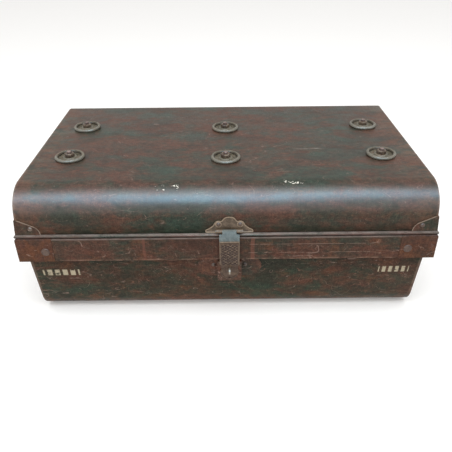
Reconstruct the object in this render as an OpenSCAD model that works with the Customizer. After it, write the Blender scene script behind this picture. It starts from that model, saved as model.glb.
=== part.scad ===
// Steel travel trunk: a tapered base with a stand-off rim band, and a round-shouldered lid
// with a wired rim, six bolted cup washers, a hasp and staple, two back hinges and two end handles.
// X runs along the trunk, Y from front to back, Z up. The origin is the middle of the floor.

/* [Trunk] */
// Length over the lid's end panels at the rim
trunk_length = 760; // [600:5:950]
// Depth over the lid's front and back walls at the rim
trunk_depth = 480; // [400:5:600]
// Height from the floor to the ledge that the lid closes on
base_height = 190; // [160:1:300]
// Height from the ledge to the top of the lid
lid_height = 92; // [80:1:160]
// Thickness of the steel sheet
sheet = 0.9; // [0.7:0.1:1.2]

/* [Lid] */
// Radius of the lid's front and back shoulders
lid_corner_r = 46; // [20:1:52]
// Inward lean of the lid's front and back walls
lid_wall_lean = 6; // [2:0.5:8]
// Inward lean of the lid's end panels
lid_end_lean = 3; // [0.5:0.5:6]
// Diameter of the rolled rim
bead_d = 7; // [6:0.5:8]
// Gap between the rolled rim and the ledge
lid_gap = 1.5; // [1.2:0.1:3]

/* [Base] */
// Radius of the base's front and back lower edges
base_corner_r = 40; // [15:1:60]
// Inward lean of the base's front and back walls towards the floor
base_wall_lean = 8; // [2:0.5:10]
// Inward lean of the base's end panels towards the floor
base_end_lean = 1; // [0.5:0.5:4]
// Height of the base walls above the ledge, inside the lid
tongue_height = 11; // [6:1:14]

/* [Rim band] */
// Height of the band round the top of the base
band_height = 48; // [36:1:54]
// How far the band's face stands outside the lid's walls
band_proud = 2.5; // [0:0.5:6]
// Width of the ledge, from the base wall to the band's face
ledge_width = 9; // [8:0.5:14]
// Length of each leg of the band's corner plates
band_corner_leg = 65; // [45:1:90]

/* [Lid bosses] */
// Spacing of the cup washers along the trunk
boss_spacing_x = 304; // [200:1:330]
// Distance of the front row of washers in front of the middle
boss_front_y = 92; // [60:1:110]
// Distance of the back row of washers behind the middle
boss_back_y = 65; // [50:1:110]
// How far the middle pair sits in front of the outer pairs
boss_middle_shift = 10; // [0:1:15]
// Diameter of a cup washer
boss_d = 58; // [40:1:64]
// Diameter of the bolt through it
boss_bolt_d = 9; // [6:0.5:10]
// Width of the nut across its flats
boss_nut_width = 17; // [15:0.5:20]

/* [Hasp] */
// Distance of the hasp and staple to the right of the middle
hasp_x = 5; // [-20:1:20]
// Width of the hasp strap
hasp_width = 36; // [30:1:44]
// Length of the strap below its bend, to its round tip
hasp_length = 96; // [92:1:100]
// Thickness of the hasp strap
hasp_thickness = 1.6; // [1.2:0.1:2]
// Width of the slot that drops over the staple
hasp_slot_width = 5; // [4.5:0.1:6]
// Diameter of the staple's padlock hole
staple_hole_d = 7.2; // [5:0.1:7.4]

/* [Hinges and handles] */
// Distance of each back hinge from the middle
hinge_x = 230; // [150:5:290]
// Width of a back hinge
hinge_width = 62; // [50:1:80]
// Diameter of a hinge barrel
barrel_d = 7; // [6.5:0.1:8]
// Diameter of a hinge pin
hinge_pin_d = 3.8; // [3:0.1:4]
// Opening angle at which the back hinges' heels stop the lid
lid_opening = 100; // [90:1:110]
// Length of a handle between its eyes
handle_span = 130; // [110:1:150]
// Drop of the handle below its eyes
handle_drop = 46; // [38:1:54]
// Diameter of the handle's rod
handle_rod_d = 8; // [6:0.5:9]

/* [Hidden] */
$fn = 48;
far = 1200;          // longer than any size, for cuts that go right through
eps = 0.01;          // how far a joined shape runs into its neighbour
lay = 0.02;          // air between two sheets that lie on each other

half_length = trunk_length / 2;
half_depth = trunk_depth / 2;
total_height = base_height + lid_height;

bend_r = 2.5;        // outside radius of the band's top bend
hem = 8;             // width of a folded hem
flange = 10;         // width of an end panel's flange
mitre_out = 20;      // how far a mitred plan runs out past the corner, and in from it
mitre_in = 60;
hole_clear = 0.1;    // radial clearance round a rivet or bolt
hole_reach = 12;     // length of a cutter for a hole through sheets
pin_clear = 0.08;    // radial clearance of a turning pin

// the rolled rim sits half a sheet inside the lid's outline, clear of the base's tongue
bead_r = bead_d / 2;
bead_inset = 0.5;
bead_z = base_height + lid_gap + bead_r;
wire_r = bead_r - sheet - 0.05;

// the band's face and the base walls, measured from the middle at the ledge
band_depth = half_depth + band_proud;
band_length = half_length + band_proud;
base_depth = band_depth - ledge_width;
base_length = band_length - ledge_width;
band_bottom = base_height - band_height;
band_seat = 13;      // height of the band's seat against the base wall

// rivets
rivet_r = 2.2;
rivet_head_r = 4.2;
rivet_head_h = 2.0;
rivet_tail_r = 3.6;
rivet_tail_h = 1.4;
band_rivet_r = 2.6;
band_rivet_head_r = 8;
band_rivet_head_h = 1.3;
band_rivet_in = 51;  // from the corner
band_rivet_z = base_height - 27;

// lid corner plates
corner_leg = 46;
corner_height = 28;
corner_step = 18;    // height of the edge beside the rivet
corner_wrap = 8;     // how much of the neighbouring wall each leg takes in at the corner
corner_thickness = 0.9;
corner_rivet_in = 28;
corner_rivet_z = bead_z + bead_r + 11;

// bosses
boss_rows = [-boss_front_y, boss_back_y];
boss_cup_h = 6.5;    // height of the cup washer's rolled rim
boss_plate = 1.2;    // thickness of the washer's pressing
boss_hub_r = boss_nut_width / 2 + 3;
boss_hub_h = 4;
boss_nut_h = 6.5;
boss_tip = 4;        // how far the bolt stands out of its nut
strap_width = 25;
strap_thickness = 3;
strap_over = 22;     // how far a strap runs past its bolts
bolt_head_r = 8;
bolt_head_h = 4;

// hinge barrels
barrel_r = barrel_d / 2;
hinge_pin_r = hinge_pin_d / 2;
leaf = 1.2;          // thickness of a hinge leaf or hasp plate
barrel_gap = 0.3;    // air between a barrel and the plate behind it

// hasp hinge: the barrel stands on its plate, on the leaning front wall of the lid
hasp_plate_foot = bead_z + bead_r + 1;
hasp_axis_z = hasp_plate_foot + barrel_r + 1.5;
hasp_rivet_x = 19.4;
hasp_rivet_up = 16;
hasp_axis_y = -lid_depth_at(hasp_axis_z) - (leaf + barrel_gap + barrel_r) / cos(lid_wall_lean);
hasp_knuckle = 25;   // length of the strap's knuckle
hasp_side_knuckle = 11;
hasp_bend_out = 14;  // how far the strap slopes forward before its bend
hasp_bend_z = base_height;
hasp_bend_y = hasp_axis_y - hasp_bend_out;
hasp_tip_y = -band_depth + 2.6;   // the leaf's outer face at its tip
hasp_lean = atan((hasp_tip_y - hasp_bend_y) / hasp_length);
hasp_tip_r = hasp_width / 2 - 2.5;
hasp_taper = 60;      // from the bend to where the leaf begins to narrow
hasp_slot_down = 71;  // from the bend to the middle of the slot
hasp_slot_height = 15;
hasp_dot_r = 1.8;

// staple: a flat tongue through the slot, with a padlock hole in front of the strap
staple_thickness = 3;
staple_height = 9;
staple_z = hasp_bend_z - hasp_slot_down * cos(hasp_lean) + 1;
staple_face_y = hasp_leaf_y(staple_z);
staple_hole_r = staple_hole_d / 2;
staple_nose = staple_height / 2;
staple_hole_y = staple_face_y - staple_hole_r - 3.2;
staple_foot = 12;
staple_foot_thickness = 2;
staple_clear = 0.1;  // air round the tongue in the box's face

// staple plate: a pressed box on a lobed flange, riveted to the base's front wall
box_width = 45;
box_top = band_bottom - 3;
box_bottom = staple_z - 33;
box_gap = 1;         // air between the box and the strap
plate_lobe_r = 25;
plate_lobe_x = 36;
plate_mid_z = (band_bottom - 3 + box_bottom) / 2;
staple_rivet_x = 30;
staple_rivet_z = staple_z - 4;

// back hinges: the barrel stands behind the band, level with the ledge
hinge_axis_y = band_depth + leaf + barrel_gap + barrel_r;
hinge_axis_z = base_height + 1;
hinge_leaf_drop = 40;
hinge_leaf_rise = 34;
hinge_leaf_foot = bead_z + bead_r + 5;   // where the lid's leaf begins on the wall
hinge_base_rivet_z = base_height - 26;
hinge_lid_rivet_z = bead_z + bead_r + 16;
hinge_rivet_in = 11; // from the leaf's end edges
hinge_slit = 0.4;    // air between neighbouring knuckles
heel_length = barrel_r + 3.4;
heel_thickness = 1.8;
// the heel points so that it reaches the base leaf when the lid has turned by lid_opening
heel_angle = 90 + asin((barrel_r + barrel_gap - heel_thickness / 2 - 0.15) / heel_length) - lid_opening;

// handles: a rod bail in two eyes on a plate, on each end panel
handle_axis_z = 112;
handle_plate_t = 1.5;
eye_r = handle_rod_d / 2 + 2.6;
eye_length = 12;
handle_axis_x = base_length_at(handle_axis_z) + handle_plate_t + eye_r + 0.3;
handle_plate_height = 30;
handle_plate_over = 26;
handle_rivet_out = 18;
handle_rivet_up = 9;
handle_play = 2;     // sideways play of the handle in its eyes
handle_arm_in = 9;   // how far the arms lean in from the eyes to the grip
rod_r = handle_rod_d / 2;

// half the lid's depth over its walls at height z
function lid_depth_at(z) = half_depth - (z - base_height) * tan(lid_wall_lean);
// half the lid's length over its end panels at height z
function lid_length_at(z) = half_length - (z - base_height) * tan(lid_end_lean);
// half the base's depth over its walls at height z
function base_depth_at(z) = base_depth - (base_height - z) * tan(base_wall_lean);
// half the base's length over its end panels at height z
function base_length_at(z) = base_length - (base_height - z) * tan(base_end_lean);
// the outer face of the hasp's leaf at height z
function hasp_leaf_y(z) = hasp_bend_y + (hasp_bend_z - z) * tan(hasp_lean);

// ---------- shapes shared by the lid and the base ----------

// a YZ outline drawn out along X, and an XZ outline drawn out along Y
module along_x(length) rotate([90, 0, 90]) linear_extrude(length, center = true) children();
module along_y(length) rotate([90, 0, 0]) linear_extrude(length, center = true) children();

// a trough's section, upside down: its rim at 0, its flat at height, its walls leaning in,
// its corners rounded, drawn inset inside the outer face and running on below the rim
module trough_section(half, height, lean, r, inset, below) {
    ri = r - inset;
    cz = height - r;
    cx = half - cz * tan(lean) - r / cos(lean);
    foot = half + below * tan(lean) - inset / cos(lean);
    tx = cx + ri * cos(lean);
    tz = cz + ri * sin(lean);
    polygon([[-foot, -below], [foot, -below], [tx, tz], [cx, cz], [cx, height - inset],
        [-cx, height - inset], [-cx, cz], [-tx, tz]]);
    for (s = [-1, 1]) translate([s * cx, cz]) circle(ri);
}

// the ends' outline, upside down in the same way
module end_section(half, height, lean, inset, below) {
    foot = half + below * tan(lean) - inset / cos(lean);
    top = half - (height + 5) * tan(lean) - inset / cos(lean);
    polygon([[-foot, -below], [foot, -below], [top, height + 5], [-top, height + 5]]);
}

// the lid as a solid: inset from its wrap, end_inset from its end panels
module lid_form(inset, end_inset, below = 0) translate([0, 0, base_height]) intersection() {
    along_x(far) trough_section(half_depth, lid_height, lid_wall_lean, lid_corner_r, inset, below);
    along_y(far) end_section(half_length, lid_height, lid_end_lean, end_inset, below);
}

// the base as a solid, in the same way, its tongue running above the ledge
module base_form(inset, end_inset, above = tongue_height)
    translate([0, 0, base_height]) mirror([0, 0, 1]) intersection() {
        along_x(far) trough_section(base_depth, base_height, base_wall_lean, base_corner_r, inset, above);
        along_y(far) end_section(base_length, base_height, base_end_lean, end_inset, above);
    }

// half of space on one side of X = 0
module half_space(side) translate([side * far / 2, 0, 0]) cube(far, center = true);

// everything above height z
module above(z) translate([0, 0, z + far / 2]) cube(far, center = true);

// plan of the front and back sides, mitred to the ends at 45 degrees through the outline's corners
module long_sides(half_x, half_y) linear_extrude(far, center = true) for (s = [-1, 1])
    polygon([[-half_x - mitre_out, s * (half_y + mitre_out)], [half_x + mitre_out, s * (half_y + mitre_out)],
        [half_x - mitre_in, s * (half_y - mitre_in)], [-half_x + mitre_in, s * (half_y - mitre_in)]]);

// plan of one end, mitred in the same way
module short_side(half_x, half_y, side) linear_extrude(far, center = true)
    polygon([[side * (half_x + mitre_out), -half_y - mitre_out],
        [side * (half_x + mitre_out), half_y + mitre_out],
        [side * (half_x - mitre_in), half_y - mitre_in], [side * (half_x - mitre_in), -half_y + mitre_in]]);

// ---------- fasteners ----------

// a spherical cap of radius r and height h on z = 0
module dome(r, h) {
    ball = (r * r + h * h) / (2 * h);
    intersection() {
        translate([0, 0, h - ball]) sphere(ball);
        cylinder(h = h + 1, r = r + 1);
    }
}

// a rivet: its head on z = 0, its tail past a grip of sheet below
module rivet(grip) {
    translate([0, 0, lay]) dome(rivet_head_r, rivet_head_h);
    translate([0, 0, -grip - 2 * lay]) cylinder(h = grip + 3 * lay + eps, r = rivet_r);
    translate([0, 0, -grip - 2 * lay]) mirror([0, 0, 1]) dome(rivet_tail_r, rivet_tail_h);
}

// a wide flat-headed rivet for the band's corners
module band_rivet(grip) {
    cylinder(h = band_rivet_head_h, r1 = band_rivet_head_r, r2 = band_rivet_head_r - 0.8);
    translate([0, 0, -grip]) cylinder(h = grip + eps, r = band_rivet_r);
    translate([0, 0, -grip]) mirror([0, 0, 1]) dome(band_rivet_r + 1.6, rivet_tail_h);
}

module rivet_hole() cylinder(h = hole_reach, r = rivet_r + hole_clear, center = true);
module band_rivet_hole() cylinder(h = hole_reach, r = band_rivet_r + hole_clear, center = true);
module bolt_hole() cylinder(h = hole_reach, r = boss_bolt_d / 2 + hole_clear, center = true);

// the hasp's and staple's place along the trunk
module at_hasp() translate([hasp_x, 0, 0]) children();

// ---------- places: local +Z points out of the sheet ----------

module on_lid_wall(x, z, side) translate([x, side * lid_depth_at(z), z])
    rotate([-side * (90 - lid_wall_lean), 0, 0]) translate([0, 0, lay]) children();
module on_lid_end(y, z, side) translate([side * lid_length_at(z), y, z])
    rotate([0, side * (90 - lid_end_lean), 0]) translate([0, 0, lay]) children();
module on_base_front(x, z) translate([x, -base_depth_at(z), z])
    rotate([90 + base_wall_lean, 0, 0]) translate([0, 0, lay]) children();
module on_base_end(y, z, side) translate([side * base_length_at(z), y, z])
    rotate([0, side * (90 + base_end_lean), 0]) translate([0, 0, lay]) children();
module on_band_wall(x, z, side) translate([x, side * band_depth, z]) rotate([-side * 90, 0, 0]) children();
module on_band_end(y, z, side) translate([side * band_length, y, z]) rotate([0, side * 90, 0]) children();

module corner_wall_rivets() for (x = [-1, 1], y = [-1, 1])
    on_lid_wall(x * (half_length - corner_rivet_in), corner_rivet_z, y) children();
module corner_end_rivets() for (x = [-1, 1], y = [-1, 1])
    on_lid_end(y * (half_depth - corner_rivet_in), corner_rivet_z, x) children();
module band_wall_rivets() for (x = [-1, 1], y = [-1, 1])
    on_band_wall(x * (band_length - band_rivet_in), band_rivet_z, y) children();
module band_end_rivets() for (x = [-1, 1], y = [-1, 1])
    on_band_end(y * (band_depth - band_rivet_in), band_rivet_z, x) children();
module hasp_plate_holes() for (x = [-1, 1])
    on_lid_wall(x * hasp_rivet_x, hasp_plate_foot + hasp_rivet_up, -1) children();
module staple_plate_holes() for (x = [-1, 1])
    on_base_front(x * staple_rivet_x, staple_rivet_z) children();
module hinge_base_holes(side) for (x = [-1, 1])
    on_band_wall(side * hinge_x + x * (hinge_width / 2 - hinge_rivet_in), hinge_base_rivet_z, 1) children();
module hinge_lid_holes(side) for (x = [-1, 1])
    on_lid_wall(side * hinge_x + x * (hinge_width / 2 - hinge_rivet_in), hinge_lid_rivet_z, 1) children();
module handle_holes(side) for (y = [-1, 1], z = [-handle_rivet_up, handle_rivet_up])
    on_base_end(y * (handle_span / 2 + handle_rivet_out), handle_axis_z + z, side) children();
module boss_place(column, row) translate([column * boss_spacing_x,
    boss_rows[row] - (column == 0 ? boss_middle_shift : 0), total_height]) children();
module boss_places() for (column = [-1, 0, 1], row = [0, 1]) boss_place(column, row) children();

// ---------- base ----------

// front wall, floor and back wall in one sheet, hemmed over the end panels
module base_wrap() color([0.20, 0.22, 0.19]) difference() {
    union() {
        difference() {
            base_form(0, 0);
            base_form(sheet, -20, tongue_height + 5);
        }
        difference() {
            base_form(0, 0);
            base_form(0, sheet, tongue_height + 5);
            base_form(hem, -20, tongue_height + 5);
        }
    }
    at_hasp() staple_plate_holes() rivet_hole();
}

// an end panel: a plate behind the wrap's hem, flanged inwards
module base_end(side) color([0.22, 0.21, 0.18]) difference() {
    intersection() {
        difference() {
            base_form(sheet + lay, sheet + lay);
            base_form(2 * sheet + lay, 2 * sheet + lay, tongue_height + 5);
        }
        difference() {
            half_space(side);
            base_form(-20, sheet + flange, tongue_height + 5);
        }
    }
    handle_holes(side) rivet_hole();
}

// ---------- rim band ----------

// section of the band in (distance from the middle, height): seat, ledge, bend, face and hem
module band_section(face, lean) {
    wall = face - ledge_width + lay;
    seat_foot = wall - band_seat * tan(lean);
    polygon([[seat_foot, base_height - band_seat], [seat_foot + sheet, base_height - band_seat],
        [wall + sheet * (1 - tan(lean)), base_height - sheet], [face - bend_r + eps, base_height - sheet],
        [face - bend_r + eps, base_height], [wall, base_height]]);
    polygon([[face - sheet, base_height - bend_r + eps], [face - sheet, band_bottom + hem],
        [face - 2 * sheet, band_bottom + hem], [face - 2 * sheet, band_bottom], [face, band_bottom],
        [face, base_height - bend_r + eps]]);
    intersection() {
        translate([face - bend_r, base_height - bend_r]) difference() {
            circle(bend_r);
            circle(bend_r - sheet);
        }
        translate([face - bend_r, base_height - bend_r]) square(bend_r);
    }
}

module band_wall(side) color([0.30, 0.16, 0.13]) difference() {
    intersection() {
        along_x(2 * band_length) mirrored_to(side) band_section(band_depth, base_wall_lean);
        long_sides(band_length, band_depth);
    }
    band_wall_rivets() band_rivet_hole();
    if (side == 1) for (s = [-1, 1]) hinge_base_holes(s) rivet_hole();
}

module band_end(side) color([0.30, 0.16, 0.13]) difference() {
    intersection() {
        along_y(2 * band_depth) mirrored_to(side) band_section(band_length, base_end_lean);
        short_side(band_length, band_depth, side);
    }
    band_end_rivets() band_rivet_hole();
}

// mirrors a section to the side it belongs to
module mirrored_to(side) if (side == 1) children(); else mirror([1, 0]) children();

// section of a corner plate: it lies on the band's face, bend and ledge
band_corner_seat = 3; // how far the plate runs in over the ledge
module band_corner_section(face) {
    inner = bend_r + lay;
    translate([face + lay, band_bottom]) square([sheet, band_height - bend_r + eps]);
    translate([face - bend_r - band_corner_seat, base_height + lay]) square([band_corner_seat + eps, sheet]);
    intersection() {
        translate([face - bend_r, base_height - bend_r]) difference() {
            circle(inner + sheet);
            circle(inner);
        }
        translate([face - bend_r, base_height - bend_r]) square(inner + sheet);
    }
}

module band_corner(x, y) color([0.36, 0.20, 0.12]) difference() {
    intersection() {
        union() {
            intersection() {
                along_x(2 * band_length + 4) mirrored_to(y) band_corner_section(band_depth);
                long_sides(band_length, band_depth);
            }
            intersection() {
                along_y(2 * band_depth + 4) mirrored_to(x) band_corner_section(band_length);
                short_side(band_length, band_depth, x);
            }
        }
        translate([x * (band_length - band_corner_leg + far / 2), y * (band_depth - band_corner_leg + far / 2), 0])
            cube(far, center = true);
    }
    band_wall_rivets() band_rivet_hole();
    band_end_rivets() band_rivet_hole();
}

module band_corner_rivets() color([0.34, 0.22, 0.16]) {
    band_wall_rivets() translate([0, 0, sheet + 2 * lay]) band_rivet(2 * sheet + 3 * lay);
    band_end_rivets() translate([0, 0, sheet + 2 * lay]) band_rivet(2 * sheet + 3 * lay);
}

// ---------- lid ----------

// the rolled rim's tubes along the front and back, or along one end
module rim_tube_long(r) for (s = [-1, 1]) translate([0, s * (half_depth - bead_inset), bead_z])
    rotate([0, 90, 0]) cylinder(h = trunk_length + 20, r = r, center = true);
module rim_tube_short(r, side) translate([side * (half_length - bead_inset), 0, bead_z])
    rotate([90, 0, 0]) cylinder(h = trunk_depth + 20, r = r, center = true);
module rim_corner_balls(r) for (x = [-1, 1], y = [-1, 1])
    translate([x * (half_length - bead_inset), y * (half_depth - bead_inset), bead_z]) sphere(r);

// front wall, top and back wall in one sheet, hemmed over the end panels, its lower edges rolled
module lid_wrap() color([0.24, 0.23, 0.20]) difference() {
    union() {
        intersection() {
            union() {
                difference() {
                    lid_form(0, 0);
                    lid_form(sheet, -20, 5);
                }
                difference() {
                    lid_form(0, 0);
                    lid_form(0, sheet, 5);
                    lid_form(hem, -20, 5);
                }
            }
            above(bead_z);
        }
        intersection() {
            rim_tube_long(bead_r);
            long_sides(half_length - bead_inset, half_depth - bead_inset);
        }
    }
    rim_tube_long(bead_r - sheet);
    for (s = [-1, 1]) intersection() {
        rim_tube_short(bead_r, s);
        short_side(half_length - bead_inset, half_depth - bead_inset, s);
    }
    corner_wall_rivets() rivet_hole();
    at_hasp() hasp_plate_holes() rivet_hole();
    for (s = [-1, 1]) hinge_lid_holes(s) rivet_hole();
    boss_places() bolt_hole();
}

module lid_end(side) color([0.24, 0.22, 0.19]) difference() {
    union() {
        intersection() {
            difference() {
                lid_form(sheet + lay, sheet + lay);
                lid_form(2 * sheet + lay, 2 * sheet + lay, 5);
            }
            difference() {
                half_space(side);
                lid_form(-20, sheet + flange, 5);
            }
            above(bead_z);
        }
        intersection() {
            rim_tube_short(bead_r, side);
            short_side(half_length - bead_inset, half_depth - bead_inset, side);
        }
    }
    rim_tube_short(bead_r - sheet, side);
    intersection() {
        rim_tube_long(bead_r);
        long_sides(half_length - bead_inset, half_depth - bead_inset);
    }
    corner_end_rivets() rivet_hole();
}

// the wire that the rim is rolled round
module lid_rim_wire() color([0.35, 0.33, 0.31]) {
    intersection() {
        rim_tube_long(wire_r);
        cube([2 * (half_length - bead_inset), far, far], center = true);
    }
    intersection() {
        union() for (s = [-1, 1]) rim_tube_short(wire_r, s);
        cube([far, 2 * (half_depth - bead_inset), far], center = true);
    }
    rim_corner_balls(wire_r);
}

// one leg's outline in (distance from the corner, height above the rim)
module corner_outline() polygon([[-mitre_out, 0], [corner_leg, 0], [corner_leg - 1.5, 6], [corner_leg - 4.5, 11],
    [corner_leg - 9, 15], [corner_leg - 15, corner_step], [corner_wrap, corner_height],
    [-mitre_out, corner_height]]);

module lid_corner(x, y) color([0.30, 0.22, 0.17]) difference() {
    intersection() {
        lid_form(-corner_thickness - lay, -corner_thickness - lay);
        union() {
            intersection() {
                translate([x * half_length, 0, bead_z + bead_r])
                    along_y(far) mirrored_to(-x) corner_outline();
                translate([0, y * (far / 2 + half_depth - corner_wrap), 0]) cube(far, center = true);
            }
            intersection() {
                translate([0, y * half_depth, bead_z + bead_r])
                    along_x(far) mirrored_to(-y) corner_outline();
                translate([x * (far / 2 + half_length - corner_wrap), 0, 0]) cube(far, center = true);
            }
        }
    }
    lid_form(-lay, -lay, 5);
    corner_wall_rivets() rivet_hole();
    corner_end_rivets() rivet_hole();
}

module lid_corner_rivets() color([0.36, 0.27, 0.21]) {
    corner_wall_rivets() translate([0, 0, corner_thickness]) rivet(corner_thickness + sheet);
    corner_end_rivets() translate([0, 0, corner_thickness]) rivet(corner_thickness + 2 * sheet);
}

// a pressed cup washer: rolled rim, dished floor, raised hub
module cup_washer(column, row) color([0.42, 0.38, 0.33]) boss_place(column, row)
    rotate_extrude($fn = 72) difference() {
        union() {
            translate([boss_d / 2 - boss_cup_h / 2, boss_cup_h / 2]) circle(boss_cup_h / 2);
            square([boss_d / 2 - boss_cup_h / 2, boss_plate]);
            polygon([[0, 0], [boss_hub_r + 3, 0], [boss_hub_r + 3, boss_plate], [boss_hub_r, boss_hub_h],
                [0, boss_hub_h]]);
        }
        square([boss_bolt_d / 2 + hole_clear, far]);
        translate([-far, 0]) square(far);
    }

module washer_nuts() color([0.30, 0.25, 0.21]) boss_places() translate([0, 0, boss_hub_h]) difference() {
    cylinder(h = boss_nut_h, r = boss_nut_width / 2 / cos(30), $fn = 6);
    translate([0, 0, -1]) cylinder(h = boss_nut_h + 2, r = boss_bolt_d / 2 + hole_clear);
}

// bolts from inside: head under the strap, domed tip above the nut
module washer_bolts() color([0.36, 0.32, 0.28]) boss_places() {
    grip = sheet + strap_thickness;
    translate([0, 0, -grip - bolt_head_h]) cylinder(h = bolt_head_h, r = bolt_head_r);
    translate([0, 0, -grip - eps])
        cylinder(h = grip + boss_hub_h + boss_nut_h + boss_tip - 2 + 2 * eps, r = boss_bolt_d / 2);
    translate([0, 0, boss_hub_h + boss_nut_h + boss_tip - 2]) dome(boss_bolt_d / 2, 2);
}

// flat iron strap under the lid, which one pair of bolts draws up to the sheet
module lid_strap(column) color([0.28, 0.22, 0.19]) difference() {
    shift = column == 0 ? boss_middle_shift : 0;
    translate([column * boss_spacing_x - strap_width / 2, -boss_front_y - shift - strap_over,
        total_height - sheet - strap_thickness])
        cube([strap_width, boss_front_y + boss_back_y + 2 * strap_over, strap_thickness]);
    boss_places() bolt_hole();
}

// ---------- hasp ----------

// lobed outline of the hasp's hinge plate, from its foot up
module hasp_plate_outline() {
    polygon([[-42, 0], [42, 0], [42.4, 5], [34, 9.5], [28, 15], [22.5, 21.5], [15.5, 22.5], [11, 28],
        [-11, 28], [-15.5, 22.5], [-22.5, 21.5], [-28, 15], [-34, 9.5], [-42.4, 5]]);
    translate([0, 19]) circle(12);
    for (s = [-1, 1]) {
        translate([s * hasp_rivet_x, hasp_rivet_up]) circle(7.6);
        translate([s * 39.5, 3.6]) circle(3.6);
    }
}

module pin_bore(y, z, r) translate([0, y, z]) rotate([0, 90, 0]) cylinder(h = far, r = r, center = true);

hasp_side_x = (hasp_knuckle + hasp_side_knuckle) / 2 + hinge_slit;

module hasp_plate() color([0.44, 0.38, 0.30]) at_hasp() difference() {
    union() {
        on_lid_wall(0, hasp_plate_foot, -1) linear_extrude(leaf) hasp_plate_outline();
        for (s = [-1, 1]) {
            translate([s * hasp_side_x, hasp_axis_y, hasp_axis_z]) rotate([0, 90, 0])
                cylinder(h = hasp_side_knuckle, r = barrel_r, center = true);
            // the roll's web back to the plate
            translate([s * hasp_side_x - hasp_side_knuckle / 2, hasp_axis_y, hasp_axis_z - leaf / 2])
                cube([hasp_side_knuckle, -hasp_axis_y - lid_depth_at(hasp_axis_z) - leaf / 2, leaf]);
        }
    }
    pin_bore(hasp_axis_y, hasp_axis_z, hinge_pin_r + lay);
    hasp_plate_holes() rivet_hole();
}

module hasp_plate_rivets() color([0.46, 0.36, 0.30]) at_hasp()
    hasp_plate_holes() translate([0, 0, leaf]) rivet(leaf + sheet);

module hasp_pin() color([0.40, 0.38, 0.35]) translate([hasp_x, hasp_axis_y, hasp_axis_z]) rotate([0, 90, 0])
    cylinder(h = hasp_knuckle + 2 * hasp_side_knuckle + 2 * hinge_slit + 1, r = hinge_pin_r, center = true);

// what is cut away round the leaf's tip, the bend at y = 0
module hasp_tip_cut() difference() {
    translate([-hasp_width, -hasp_length - 10]) square([2 * hasp_width, hasp_length + 10 - hasp_taper]);
    polygon([[-hasp_width / 2, -hasp_taper + eps], [-hasp_tip_r + 1, -hasp_length + hasp_tip_r + 5],
        [hasp_tip_r - 1, -hasp_length + hasp_tip_r + 5], [hasp_width / 2, -hasp_taper + eps]]);
    translate([0, -hasp_length + hasp_tip_r]) circle(hasp_tip_r);
}

// the staple's slot and the small hole at the tip
module hasp_leaf_holes() {
    translate([-hasp_slot_width / 2, -hasp_slot_down - hasp_slot_height / 2 + hasp_slot_width / 2])
        square([hasp_slot_width, hasp_slot_height - hasp_slot_width]);
    for (s = [-1, 1]) translate([0, -hasp_slot_down + s * (hasp_slot_height - hasp_slot_width) / 2])
        circle(hasp_slot_width / 2);
    translate([0, -hasp_length + 3.2]) circle(hasp_dot_r);
}

// side outline of the strap: down the slope from the barrel, round the bend and down the leaf
hasp_root = barrel_r - 0.15;
hasp_rise = hasp_axis_z - hasp_bend_z;
hasp_slope = atan(hasp_rise / hasp_bend_out) + asin(hasp_root / norm([hasp_rise, hasp_bend_out]));
module hasp_profile() {
    n = [-sin(hasp_slope), cos(hasp_slope)];
    m = [-cos(hasp_lean), -sin(hasp_lean)];
    axis = [hasp_axis_y, hasp_axis_z];
    bend = [hasp_bend_y, hasp_bend_z];
    tip = bend + (hasp_length + 5) * [sin(hasp_lean), -cos(hasp_lean)];
    polygon([axis + hasp_root * n, bend, tip, tip - hasp_thickness * m,
        bend - hasp_thickness / (1 + n * m) * (n + m), axis + (hasp_root - hasp_thickness) * n]);
}

module hasp_strap() color([0.42, 0.36, 0.30]) at_hasp() difference() {
    union() {
        along_x(hasp_width) hasp_profile();
        translate([0, hasp_axis_y, hasp_axis_z]) rotate([0, 90, 0])
            cylinder(h = hasp_knuckle, r = barrel_r, center = true);
    }
    // room beside the middle knuckle for the plate's knuckles
    for (s = [-1, 1]) translate([s * (hasp_knuckle + far) / 2, hasp_axis_y, hasp_axis_z])
        rotate([hasp_slope, 0, 0]) translate([0, 10 - barrel_r - 1.2, 0]) cube([far, 20, 20], center = true);
    translate([0, hasp_bend_y, hasp_bend_z]) rotate([90 + hasp_lean, 0, 0])
        linear_extrude(30, center = true) {
            hasp_tip_cut();
            hasp_leaf_holes();
        }
    pin_bore(hasp_axis_y, hasp_axis_z, hinge_pin_r + pin_clear);
}

// the box's front outer face at height z, parallel to the strap's leaf
function box_face_y(z) = hasp_leaf_y(z) + hasp_thickness / cos(hasp_lean) + box_gap;

// side outline of the staple plate's box, drawn in by inset
module box_side(inset) polygon([
    [-base_depth_at(box_top) + 4, box_top - inset], [box_face_y(box_top - inset) + inset, box_top - inset],
    [box_face_y(box_bottom + inset) + inset, box_bottom + inset],
    [-base_depth_at(box_bottom) + 4, box_bottom + inset]]);

module staple_plate_outline() {
    translate([-plate_lobe_x, -plate_lobe_r]) square([2 * plate_lobe_x, 2 * plate_lobe_r]);
    for (s = [-1, 1]) translate([s * plate_lobe_x, 0]) circle(plate_lobe_r);
    translate([0, -plate_lobe_r + 12]) circle(24);
}

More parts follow.
